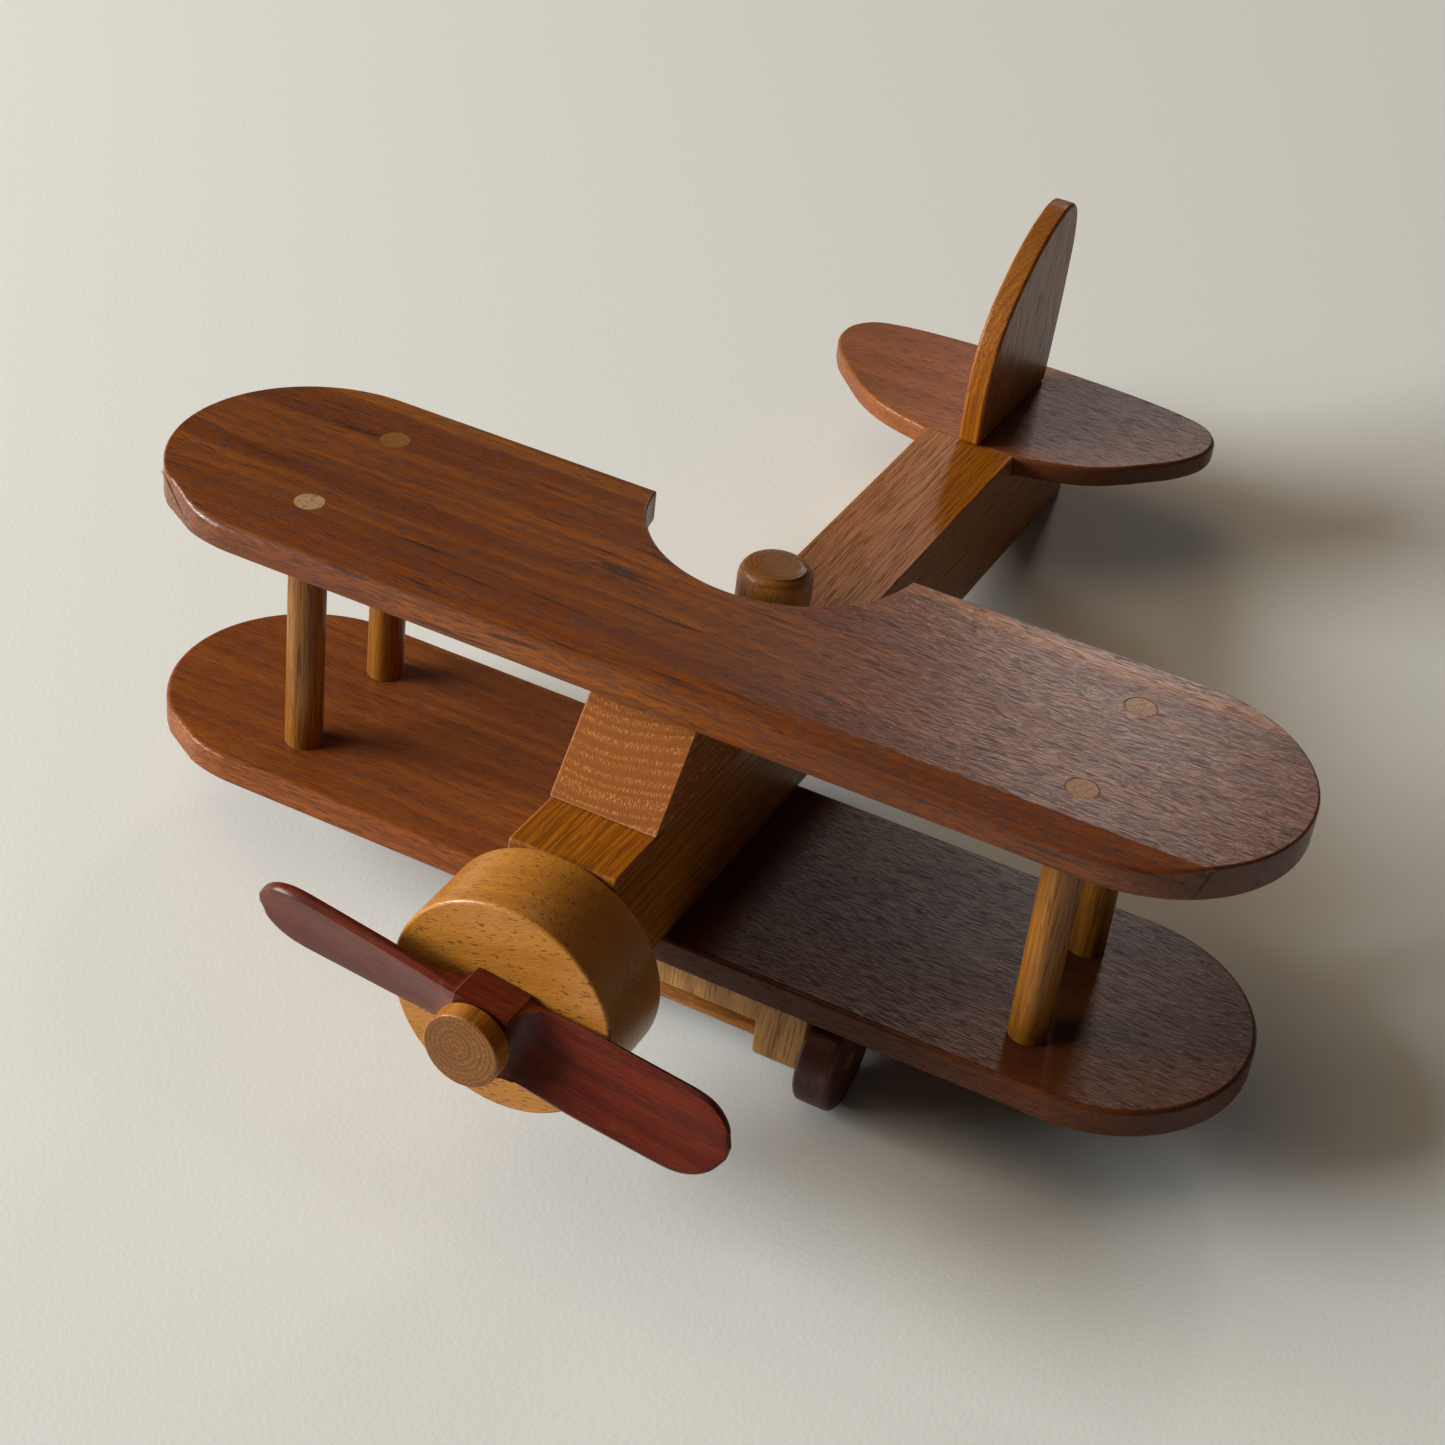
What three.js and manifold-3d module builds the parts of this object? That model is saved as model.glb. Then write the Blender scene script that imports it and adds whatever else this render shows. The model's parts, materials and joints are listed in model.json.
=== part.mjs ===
// A wooden toy biplane, standing on its two wheels and the heel of its tail.
// Every piece is drawn in the airframe's own axes (X across the wings, Y towards the tail, Z up,
// wings level) and the whole airframe is then turned nose-up onto the ground.
// Millimetres, +Z up, the nose points to -Y.
import * as THREE from 'three';
import * as BufferGeometryUtils from 'three/addons/utils/BufferGeometryUtils.js';
import Module from 'manifold-3d';

const wasm = await Module();
wasm.setup();

// ---------------------------------------------------------------- driving dimensions

// Fits and edges
const GLUE_GAP = 0.3; // left between two faces that are glued together
const TENON_FIT = 0.3; // radial room round a glued round tenon or shank
const RUNNING_FIT = 0.5; // radial room round a shank that something spins on
const END_PLAY = 0.5; // side room of a spinning piece between its neighbours
const EDGE_EASE = 1.0; // the sanded rounding along the boards' edges
const BLOCK_EASE = 0.7; // the finer easing along the sawn blocks' edges
const ROUND_FACETS = 32; // facets round dowels, pegs and their holes
const DISC_FACETS = 56; // facets round the wheels and the cowl

// Wings
const UPPER_SPAN = 305;
const UPPER_CHORD = 78.2;
const UPPER_THICKNESS = 9;
const UPPER_SHIFT = -0.8; // middle of the upper chord, along Y
const LOWER_SPAN = 307;
const LOWER_CHORD = 77.6;
const LOWER_THICKNESS = 8;
const LOWER_SHIFT = 0.6; // middle of the lower chord, along Y
const LOWER_TOP = 47.2; // height of the lower wing's top face in the airframe
const WING_GAP = 64; // clear height between the two wings
const NOSE_BEVEL_WIDTH = 8.3; // the upper wing's planed leading edge, along Y
const NOSE_BEVEL_DROP = 2.2; // how far that edge is planed down at the front
const CUTOUT_RADIUS = 36.6; // the scoop behind the pilot, in the upper trailing edge
const CUTOUT_SETBACK = 4.4; // how far the scoop's centre lies behind the trailing edge

// Struts
const STRUT_RADIUS = 5;
const STRUT_TENON_RADIUS = 4;
const STRUT_X = 103.7; // struts' distance from the middle plane
const STRUT_FRONT_Y = -19.8;
const STRUT_REAR_Y = 19.5;

// Fuselage, windscreen block and engine cowl
const FUSELAGE_WIDTH = 29;
const FUSELAGE_HEIGHT = 37.8;
const FUSELAGE_NOSE_Y = -69.3;
const FUSELAGE_TAIL_Y = 232;
const BLOCK_FRONT_Y = -50.2; // foot of the slanted front face
const BLOCK_SLANT = 19.6; // how far the front face leans back over the block's height
const BLOCK_REAR_Y = 3;
const COWL_RADIUS = 29.2;
const COWL_THICKNESS = 24.3;
const COWL_DROP = 8.9; // cowl's axis below the middle of the fuselage's end
const COWL_EASE = 1.8;

// Propeller and the peg it spins on
const HUB_WIDTH = 14.2;
const HUB_HEIGHT = 19;
const PROP_STOCK = 10.8; // depth of the blank that the propeller is carved from
const BLADE_REACH = 63.2; // hub centre to blade tip
const BLADE_TIP_LENGTH = 12.4; // length of the rounded tip
const BLADE_ROOT_CHORD = 18;
const BLADE_CHORD = 21.2;
const BLADE_ROOT_THICKNESS = 8.4;
const BLADE_THICKNESS = 3.6;
const BLADE_SETBACK = 1.1; // how far the blades lie behind the blank's middle
const BLADE_ROOT_PITCH = 24; // degrees
const BLADE_TIP_PITCH = 16; // degrees
const BLADE_PARK_ANGLE = 7.5; // how far the propeller is turned at rest, degrees
const PROP_PEG_RADIUS = 3.2;
const PROP_PEG_HEAD_RADIUS = 9.9;
const PROP_PEG_HEAD = 5.6;
const PROP_PEG_ANCHOR = 20; // depth of the shank in the fuselage

// Pilot
const PILOT_Y = 37.1;
const PILOT_RADIUS = 9.8;
const PILOT_HEIGHT = 27.2;
const PILOT_CROWN = 5.4; // rounding of the head
const PILOT_TENON_RADIUS = 5;
const PILOT_TENON = 12;

// Tail
const TAIL_THICKNESS = 6.5;
const FIN_THICKNESS = 7;
const STAB_CHORD = 57.7;
const STAB_OVERHANG = 1.2; // how far its trailing edge stands past the fuselage's end
const STAB_HALF_SPAN = 61.8;
const FIN_LEAD = 1.7; // how far the fin's foot starts in front of the stabiliser
const FIN_BASE_CHORD = 54;
const FIN_HEIGHT = 60.6;
const FIN_RAKE = 3.8; // how far the trailing edge leans back at mid height

// Undercarriage
const GEAR_FRONT_Y = -34;
const GEAR_DEPTH = 11.4;
const GEAR_HALF_WIDTH = 45;
const GEAR_SHIFT = 8.5; // the maker glued the undercarriage this far left of the middle
const GEAR_LEG_WIDTH = 14;
const GEAR_BEAM_HEIGHT = 9.5;
const GEAR_FOOT_WALL = 1.6; // wood left under the axle's hole
const GEAR_CORNER = 1.6;
const WHEEL_RADIUS = 13.5;
const WHEEL_THICKNESS = 9.6;
const WHEEL_EASE = 1.2;
const WHEEL_ROOM = 1.7; // clear height between the wheels and the lower wing
const AXLE_RADIUS = 3;

// ---------------------------------------------------------------- derived places

const LOWER_BOTTOM = LOWER_TOP - LOWER_THICKNESS;
const UPPER_BOTTOM = LOWER_TOP + WING_GAP;
const UPPER_TOP = UPPER_BOTTOM + UPPER_THICKNESS;
const UPPER_FRONT_Y = UPPER_SHIFT - UPPER_CHORD / 2;
const UPPER_REAR_Y = UPPER_SHIFT + UPPER_CHORD / 2;
const FUSELAGE_BOTTOM = LOWER_TOP + GLUE_GAP;
const FUSELAGE_TOP = FUSELAGE_BOTTOM + FUSELAGE_HEIGHT;
const COWL_AXIS_Z = FUSELAGE_BOTTOM + FUSELAGE_HEIGHT / 2 - COWL_DROP;
const COWL_BACK_Y = FUSELAGE_NOSE_Y - GLUE_GAP;
const COWL_FRONT_Y = COWL_BACK_Y - COWL_THICKNESS;
const PROP_BACK_Y = COWL_FRONT_Y - END_PLAY;
const PROP_FRONT_Y = PROP_BACK_Y - PROP_STOCK;
const PROP_HEAD_BACK_Y = PROP_FRONT_Y - END_PLAY;
const GEAR_TOP = LOWER_BOTTOM - GLUE_GAP;
const AXLE_Y = GEAR_FRONT_Y + GEAR_DEPTH / 2;
const AXLE_Z = LOWER_BOTTOM - WHEEL_ROOM - WHEEL_RADIUS;
const WHEEL_INNER_X = GEAR_HALF_WIDTH + END_PLAY;
const WHEEL_OUTER_X = WHEEL_INNER_X + WHEEL_THICKNESS;
const STAB_FRONT_Y = FUSELAGE_TAIL_Y + STAB_OVERHANG - STAB_CHORD;
const FIN_FRONT_Y = STAB_FRONT_Y - FIN_LEAD;
const STRUT_PLACES = [
  ['front_left', STRUT_X, STRUT_FRONT_Y],
  ['front_right', -STRUT_X, STRUT_FRONT_Y],
  ['rear_left', STRUT_X, STRUT_REAR_Y],
  ['rear_right', -STRUT_X, STRUT_REAR_Y],
];
const SIDES = [
  ['left', 1],
  ['right', -1],
];

// ---------------------------------------------------------------- woods

const wood = (color, roughness) => new THREE.MeshStandardMaterial({ color, roughness, metalness: 0 });
const WINGS_WOOD = wood(0x7a3c18, 0.42);
const TAIL_WOOD = wood(0x74401f, 0.45);
const BODY_WOOD = wood(0x96591d, 0.42);
const BLOCK_WOOD = wood(0xa0622c, 0.48);
const STRUT_WOOD = wood(0x8a5a20, 0.4);
const COWL_WOOD = wood(0xb07a30, 0.38);
const PROP_WOOD = wood(0x5c2212, 0.35);
const PEG_WOOD = wood(0x9a5e24, 0.42);
const GEAR_WOOD = wood(0xb88a4c, 0.55);
const WHEEL_WOOD = wood(0x3c1e16, 0.5);

// ---------------------------------------------------------------- solids

// A closed three.js geometry as a solid that can be joined and cut.
function solidOf(geometry) {
  const bare = geometry.clone();
  bare.deleteAttribute('normal');
  bare.deleteAttribute('uv');
  const merged = BufferGeometryUtils.mergeVertices(bare, 1e-4);
  return new wasm.Manifold(
    new wasm.Mesh({
      numProp: 3,
      vertProperties: new Float32Array(merged.attributes.position.array),
      triVerts: new Uint32Array(merged.index.array),
    }),
  );
}

// The triangles of a solid as a three.js geometry.
function geometryOf(solid) {
  const mesh = solid.getMesh();
  const geometry = new THREE.BufferGeometry();
  const positions = new Float32Array(mesh.numVert * 3);
  for (let i = 0; i < mesh.numVert; i += 1) {
    for (let k = 0; k < 3; k += 1) {
      positions[i * 3 + k] = mesh.vertProperties[i * mesh.numProp + k];
    }
  }
  geometry.setAttribute('position', new THREE.BufferAttribute(positions, 3));
  geometry.setIndex(new THREE.BufferAttribute(new Uint32Array(mesh.triVerts), 1));
  geometry.computeVertexNormals();
  return geometry;
}

// The body with every cutter taken out of it.
function cut(geometry, cutters) {
  return geometryOf(cutters.reduce((solid, cutter) => solid.subtract(solidOf(cutter)), solidOf(geometry)));
}

// An outline drawn in X and Y, thickened from z0 to z1, its edges eased.
function board(outline, z0, z1, ease, curveSegments) {
  const geometry = new THREE.ExtrudeGeometry(outline, {
    depth: z1 - z0 - 2 * ease,
    bevelEnabled: ease > 0,
    bevelThickness: ease,
    bevelSize: ease,
    bevelOffset: -ease,
    bevelSegments: 2,
    curveSegments,
  });
  geometry.translate(0, 0, z0 + ease);
  return geometry;
}

// A board stood on edge so that its outline's X, Y and thickness lie along the axes X, Z and Y.
function standAcross(geometry) {
  return geometry.rotateX(Math.PI / 2);
}

// A board stood on edge so that its outline's X, Y and thickness lie along the axes Y, Z and X.
function standAlong(geometry) {
  return geometry.applyMatrix4(
    new THREE.Matrix4().makeBasis(
      new THREE.Vector3(0, 1, 0),
      new THREE.Vector3(0, 0, 1),
      new THREE.Vector3(1, 0, 0),
    ),
  );
}

// A turned piece about Z: its profile is a list of [radius, height], from the lower end up.
function turned(profile, facets = ROUND_FACETS) {
  const points = profile.map(([radius, height]) => new THREE.Vector2(radius, height));
  return new THREE.LatheGeometry(points, facets).rotateX(Math.PI / 2);
}

// A quarter round from [r, z] at angle 0 to angle 90 degrees, as profile points.
function quarterRound(centreRadius, centreZ, ease, fromAngle, steps) {
  const points = [];
  for (let i = 0; i <= steps; i += 1) {
    const angle = ((fromAngle + (90 * i) / steps) * Math.PI) / 180;
    points.push([centreRadius + ease * Math.cos(angle), centreZ + ease * Math.sin(angle)]);
  }
  return points;
}

// A plain round bar about Z, used as a drill.
function drill(radius, z0, z1, facets = ROUND_FACETS) {
  return turned([[0, z0], [radius, z0], [radius, z1], [0, z1]], facets);
}

// A turned piece or drill about Z, laid along X so that its height runs towards +X.
const alongX = (geometry) => geometry.rotateY(Math.PI / 2);
// A turned piece or drill about Z, laid along Y so that its height runs towards -Y.
const alongFront = (geometry) => geometry.rotateX(Math.PI / 2);

function box(x0, x1, y0, y1, z0, z1) {
  const geometry = new THREE.BoxGeometry(x1 - x0, y1 - y0, z1 - z0);
  return geometry.translate((x0 + x1) / 2, (y0 + y1) / 2, (z0 + z1) / 2);
}

// ---------------------------------------------------------------- the airframe

const airframe = new THREE.Group();
const add = (name, geometry, material) => {
  const mesh = new THREE.Mesh(geometry, material);
  mesh.name = name;
  airframe.add(mesh);
  return mesh;
};

// Wings: boards with half-round tips.
function wingOutline(span, chord, shift) {
  const radius = chord / 2;
  const reach = span / 2 - radius;
  const outline = new THREE.Shape();
  outline.moveTo(-reach, shift - radius);
  outline.lineTo(reach, shift - radius);
  outline.absarc(reach, shift, radius, -Math.PI / 2, Math.PI / 2, false);
  outline.lineTo(-reach, shift + radius);
  outline.absarc(-reach, shift, radius, Math.PI / 2, (3 * Math.PI) / 2, false);
  return outline;
}

const strutHoles = (z0, z1) =>
  STRUT_PLACES.map(([, x, y]) => drill(STRUT_TENON_RADIUS + TENON_FIT, z0, z1).translate(x, y, 0));

// The planed leading edge: all that lies above a shallow arc, tangent to the top face.
function noseBevelCutter() {
  const section = new THREE.Shape();
  const startY = UPPER_FRONT_Y + NOSE_BEVEL_WIDTH;
  const steps = 5;
  section.moveTo(startY, UPPER_TOP + 1);
  section.lineTo(startY, UPPER_TOP);
  for (let i = 1; i <= steps; i += 1) {
    const share = i / steps;
    section.lineTo(startY - share * NOSE_BEVEL_WIDTH, UPPER_TOP - NOSE_BEVEL_DROP * share ** 1.6);
  }
  section.lineTo(UPPER_FRONT_Y - 1, UPPER_TOP - NOSE_BEVEL_DROP);
  section.lineTo(UPPER_FRONT_Y - 1, UPPER_TOP + 1);
  return standAlong(board(section, -UPPER_SPAN / 2 - 1, UPPER_SPAN / 2 + 1, 0, 4));
}

const upperBoard = board(
  wingOutline(UPPER_SPAN, UPPER_CHORD, UPPER_SHIFT),
  UPPER_BOTTOM,
  UPPER_TOP,
  EDGE_EASE,
  18,
);
const cutout = drill(CUTOUT_RADIUS, UPPER_BOTTOM - 1, UPPER_TOP + 1, DISC_FACETS).translate(
  0,
  UPPER_REAR_Y + CUTOUT_SETBACK,
  0,
);
add(
  'upper_wing',
  cut(upperBoard, [noseBevelCutter(), cutout, ...strutHoles(UPPER_BOTTOM - 1, UPPER_TOP + 1)]),
  WINGS_WOOD,
);

const lowerBoard = board(
  wingOutline(LOWER_SPAN, LOWER_CHORD, LOWER_SHIFT),
  LOWER_BOTTOM,
  LOWER_TOP,
  EDGE_EASE,
  18,
);
add('lower_wing', cut(lowerBoard, strutHoles(LOWER_BOTTOM - 1, LOWER_TOP + 1)), WINGS_WOOD);

// Struts: dowels with a thinner tenon at each end, let through the wings and sanded flush.
for (const [place, x, y] of STRUT_PLACES) {
  const strut = turned([
    [0, LOWER_BOTTOM],
    [STRUT_TENON_RADIUS, LOWER_BOTTOM],
    [STRUT_TENON_RADIUS, LOWER_TOP + GLUE_GAP],
    [STRUT_RADIUS, LOWER_TOP + GLUE_GAP],
    [STRUT_RADIUS, UPPER_BOTTOM - GLUE_GAP],
    [STRUT_TENON_RADIUS, UPPER_BOTTOM - GLUE_GAP],
    [STRUT_TENON_RADIUS, UPPER_TOP],
    [0, UPPER_TOP],
  ]);
  add(`strut_${place}`, strut.translate(x, y, 0), STRUT_WOOD);
}

// Fuselage: one straight bar, with a seat for the stabiliser in its tail.
const fuselageSection = new THREE.Shape();
fuselageSection.moveTo(-FUSELAGE_WIDTH / 2, FUSELAGE_BOTTOM);
fuselageSection.lineTo(FUSELAGE_WIDTH / 2, FUSELAGE_BOTTOM);
fuselageSection.lineTo(FUSELAGE_WIDTH / 2, FUSELAGE_TOP);
fuselageSection.lineTo(-FUSELAGE_WIDTH / 2, FUSELAGE_TOP);
const fuselageBar = standAcross(
  board(fuselageSection, -FUSELAGE_TAIL_Y, -FUSELAGE_NOSE_Y, BLOCK_EASE, 4),
);
const stabSeat = box(
  -FUSELAGE_WIDTH,
  FUSELAGE_WIDTH,
  STAB_FRONT_Y - GLUE_GAP,
  FUSELAGE_TAIL_Y + STAB_CHORD,
  FUSELAGE_TOP - TAIL_THICKNESS - GLUE_GAP,
  FUSELAGE_TOP + 1,
);
const pilotHole = drill(
  PILOT_TENON_RADIUS + TENON_FIT,
  FUSELAGE_TOP - PILOT_TENON - GLUE_GAP,
  FUSELAGE_TOP + 1,
).translate(0, PILOT_Y, 0);
const propPegHole = alongFront(
  drill(
    PROP_PEG_RADIUS + TENON_FIT,
    -FUSELAGE_NOSE_Y - PROP_PEG_ANCHOR - GLUE_GAP,
    -FUSELAGE_NOSE_Y + 1,
  ),
).translate(0, 0, COWL_AXIS_Z);
add('fuselage', cut(fuselageBar, [stabSeat, pilotHole, propPegHole]), BODY_WOOD);

// Windscreen block: carries the upper wing, its front face leaning back.
const blockFoot = FUSELAGE_TOP + GLUE_GAP;
const blockHead = UPPER_BOTTOM - GLUE_GAP;
const blockSection = new THREE.Shape();
blockSection.moveTo(BLOCK_FRONT_Y, blockFoot);
blockSection.lineTo(BLOCK_REAR_Y, blockFoot);
blockSection.lineTo(BLOCK_REAR_Y, blockHead);
blockSection.lineTo(BLOCK_FRONT_Y + BLOCK_SLANT, blockHead);
add(
  'windscreen_block',
  standAlong(board(blockSection, -FUSELAGE_WIDTH / 2, FUSELAGE_WIDTH / 2, BLOCK_EASE, 4)),
  BLOCK_WOOD,
);

// Engine cowl: a thick turned disc on the nose.
const cowlDisc = turned(
  [
    [0, -COWL_BACK_Y],
    ...quarterRound(COWL_RADIUS - BLOCK_EASE, -COWL_BACK_Y + BLOCK_EASE, BLOCK_EASE, -90, 2),
    ...quarterRound(COWL_RADIUS - COWL_EASE, -COWL_FRONT_Y - COWL_EASE, COWL_EASE, 0, 3),
    [0, -COWL_FRONT_Y],
  ],
  DISC_FACETS,
);
const cowlHole = drill(PROP_PEG_RADIUS + TENON_FIT, -COWL_BACK_Y - 1, -COWL_FRONT_Y + 1);
add(
  'engine_cowl',
  alongFront(cut(cowlDisc, [cowlHole])).translate(0, 0, COWL_AXIS_Z),
  COWL_WOOD,
);

// Propeller peg: a shank through the propeller and the cowl, with a wide flat head.
const propPeg = turned([
  [0, -FUSELAGE_NOSE_Y - PROP_PEG_ANCHOR],
  [PROP_PEG_RADIUS, -FUSELAGE_NOSE_Y - PROP_PEG_ANCHOR],
  [PROP_PEG_RADIUS, -PROP_HEAD_BACK_Y],
  ...quarterRound(PROP_PEG_HEAD_RADIUS - BLOCK_EASE, -PROP_HEAD_BACK_Y + BLOCK_EASE, BLOCK_EASE, -90, 2),
  ...quarterRound(
    PROP_PEG_HEAD_RADIUS - BLOCK_EASE,
    -PROP_HEAD_BACK_Y + PROP_PEG_HEAD - BLOCK_EASE,
    BLOCK_EASE,
    0,
    2,
  ),
  [0, -PROP_HEAD_BACK_Y + PROP_PEG_HEAD],
]);
add('propeller_peg', alongFront(propPeg).translate(0, 0, COWL_AXIS_Z), PEG_WOOD);

// Propeller: a rectangular hub with two scooped, twisted blades carved from the same blank.
function bladeChord(reach) {
  const spread = Math.min(1, (reach - HUB_WIDTH / 2) / (BLADE_REACH / 3));
  const chord = BLADE_ROOT_CHORD + (BLADE_CHORD - BLADE_ROOT_CHORD) * Math.sqrt(Math.max(0, spread));
  const intoTip = Math.max(0, (reach - (BLADE_REACH - BLADE_TIP_LENGTH)) / BLADE_TIP_LENGTH);
  return chord * Math.sqrt(1 - 0.985 * intoTip ** 2);
}

function blade() {
  const facets = 16;
  const section = new THREE.Shape();
  for (let i = 0; i < facets; i += 1) {
    const angle = (2 * Math.PI * i) / facets;
    const across = Math.sign(Math.cos(angle)) * Math.abs(Math.cos(angle)) ** 0.8;
    const thick = Math.sign(Math.sin(angle)) * Math.abs(Math.sin(angle)) ** 0.6;
    section[i === 0 ? 'moveTo' : 'lineTo'](thick / 2, across / 2);
  }
  const geometry = new THREE.ExtrudeGeometry(section, { depth: 1, steps: 18, bevelEnabled: false });
  const root = HUB_WIDTH / 2 - 1;
  const position = geometry.attributes.position;
  for (let i = 0; i < position.count; i += 1) {
    const share = position.getZ(i);
    const reach = root + (BLADE_REACH - root) * Math.sin((share * Math.PI) / 2);
    const thin = Math.min(1, share * 3);
    const thickness = BLADE_ROOT_THICKNESS + (BLADE_THICKNESS - BLADE_ROOT_THICKNESS) * thin;
    const pitch = THREE.MathUtils.degToRad(
      BLADE_ROOT_PITCH + (BLADE_TIP_PITCH - BLADE_ROOT_PITCH) * share,
    );
    const along = position.getX(i) * thickness;
    const up = position.getY(i) * bladeChord(reach);
    position.setXYZ(
      i,
      reach,
      along * Math.cos(pitch) + up * Math.sin(pitch) + BLADE_SETBACK,
      up * Math.cos(pitch) - along * Math.sin(pitch),
    );
  }
  return geometry;
}

const hub = solidOf(
  box(-HUB_WIDTH / 2, HUB_WIDTH / 2, -PROP_STOCK / 2, PROP_STOCK / 2, -HUB_HEIGHT / 2, HUB_HEIGHT / 2),
);
const blank = solidOf(
  box(-BLADE_REACH, BLADE_REACH, -PROP_STOCK / 2, PROP_STOCK / 2, -BLADE_CHORD, BLADE_CHORD),
);
const blades = [0, Math.PI].map((turn) => solidOf(blade().rotateY(turn)).intersect(blank));
const propBore = alongFront(drill(PROP_PEG_RADIUS + RUNNING_FIT, -PROP_STOCK, PROP_STOCK));
const propeller = add(
  'propeller',
  geometryOf(blades.reduce((solid, each) => solid.add(each), hub).subtract(solidOf(propBore))),
  PROP_WOOD,
);
propeller.position.set(0, (PROP_BACK_Y + PROP_FRONT_Y) / 2, COWL_AXIS_Z);
propeller.rotation.y = THREE.MathUtils.degToRad(BLADE_PARK_ANGLE);

// Pilot: a short peg with a rounded head, its tenon in the fuselage.
const pilot = turned([
  [0, FUSELAGE_TOP - PILOT_TENON],
  [PILOT_TENON_RADIUS, FUSELAGE_TOP - PILOT_TENON],
  [PILOT_TENON_RADIUS, FUSELAGE_TOP + GLUE_GAP],
  [PILOT_RADIUS, FUSELAGE_TOP + GLUE_GAP],
  ...quarterRound(PILOT_RADIUS - PILOT_CROWN, FUSELAGE_TOP + PILOT_HEIGHT - PILOT_CROWN, PILOT_CROWN, 0, 5),
  [0, FUSELAGE_TOP + PILOT_HEIGHT],
]);
add('pilot_peg', pilot.translate(0, PILOT_Y, 0), PEG_WOOD);

// Stabiliser: let flush into the fuselage's top, its leading edge sweeping back to round tips.
const stabRear = STAB_FRONT_Y + STAB_CHORD;
const stabOutline = new THREE.Shape();
stabOutline.moveTo(0, STAB_FRONT_Y);
for (const side of [1, -1]) {
  const near = side * (FUSELAGE_WIDTH / 2);
  const tip = side * STAB_HALF_SPAN;
  const rim = [
    [near, STAB_FRONT_Y],
    [tip * 0.56, STAB_FRONT_Y + STAB_CHORD * 0.13],
    [tip * 0.8, STAB_FRONT_Y + STAB_CHORD * 0.36],
    [tip * 0.95, STAB_FRONT_Y + STAB_CHORD * 0.57],
    [tip, STAB_FRONT_Y + STAB_CHORD * 0.74],
    [tip * 0.97, STAB_FRONT_Y + STAB_CHORD * 0.89],
    [tip * 0.84, stabRear],
  ].map(([x, y]) => new THREE.Vector2(x, y));
  if (side === 1) {
    stabOutline.lineTo(rim[0].x, rim[0].y);
    stabOutline.splineThru(rim.slice(1));
  } else {
    stabOutline.lineTo(rim[6].x, rim[6].y);
    stabOutline.splineThru(rim.slice(0, 6).reverse());
  }
}
const stabTop = FUSELAGE_TOP;
add('stabiliser', board(stabOutline, stabTop - TAIL_THICKNESS, stabTop, EDGE_EASE, 4), TAIL_WOOD);

// Fin: a thin board standing on the stabiliser, its leading edge one long curve.
const finFoot = FUSELAGE_TOP + GLUE_GAP;
const finOutline = new THREE.Shape();
finOutline.moveTo(FIN_FRONT_Y, finFoot);
finOutline.lineTo(FIN_FRONT_Y + FIN_BASE_CHORD, finFoot);
finOutline.splineThru(
  [
    [FIN_BASE_CHORD + FIN_RAKE * 0.6, 0.26],
    [FIN_BASE_CHORD + FIN_RAKE, 0.54],
    [FIN_BASE_CHORD + FIN_RAKE * 0.9, 0.86],
    [FIN_BASE_CHORD - 0.5, 0.975],
    [FIN_BASE_CHORD - 5.5, 1],
    [FIN_BASE_CHORD * 0.73, 0.975],
    [FIN_BASE_CHORD * 0.52, 0.9],
    [FIN_BASE_CHORD * 0.31, 0.775],
    [FIN_BASE_CHORD * 0.15, 0.64],
    [FIN_BASE_CHORD * 0.06, 0.51],
    [FIN_BASE_CHORD * 0.015, 0.35],
    [0, 0],
  ].map(([y, share]) => new THREE.Vector2(FIN_FRONT_Y + y, finFoot + share * FIN_HEIGHT)),
);
add(
  'fin',
  standAlong(board(finOutline, -FIN_THICKNESS / 2, FIN_THICKNESS / 2, EDGE_EASE, 3)),
  BODY_WOOD,
);

// Undercarriage: an inverted U glued under the lower wing, its legs drilled for the axle.
const gearBottom = AXLE_Z - AXLE_RADIUS - RUNNING_FIT - GEAR_FOOT_WALL;
const gearBeamBottom = GEAR_TOP - GEAR_BEAM_HEIGHT;
const gearInnerX = GEAR_HALF_WIDTH - GEAR_LEG_WIDTH;
const gearCorners = [
  [GEAR_HALF_WIDTH, GEAR_TOP],
  [GEAR_HALF_WIDTH, gearBottom + GEAR_CORNER],
  [GEAR_HALF_WIDTH - GEAR_CORNER, gearBottom],
  [gearInnerX + GEAR_CORNER, gearBottom],
  [gearInnerX, gearBottom + GEAR_CORNER],
  [gearInnerX, gearBeamBottom],
];
const gearOutline = new THREE.Shape([
  ...gearCorners.map(([x, z]) => new THREE.Vector2(-x, z)),
  ...gearCorners.map(([x, z]) => new THREE.Vector2(x, z)).reverse(),
]);
const gearFrame = standAcross(
  board(gearOutline, -GEAR_FRONT_Y - GEAR_DEPTH, -GEAR_FRONT_Y, BLOCK_EASE, 4),
);
const axleHole = alongX(
  drill(AXLE_RADIUS + RUNNING_FIT, -GEAR_HALF_WIDTH - 1, GEAR_HALF_WIDTH + 1),
).translate(0, AXLE_Y, AXLE_Z);
add('undercarriage', cut(gearFrame, [axleHole]).translate(GEAR_SHIFT, 0, 0), GEAR_WOOD);

// Axle: a dowel that turns in the legs, its ends flush with the wheels' outer faces.
const axle = alongX(drill(AXLE_RADIUS, -WHEEL_OUTER_X, WHEEL_OUTER_X));
add('axle', axle.translate(GEAR_SHIFT, AXLE_Y, AXLE_Z), PEG_WOOD);

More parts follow.
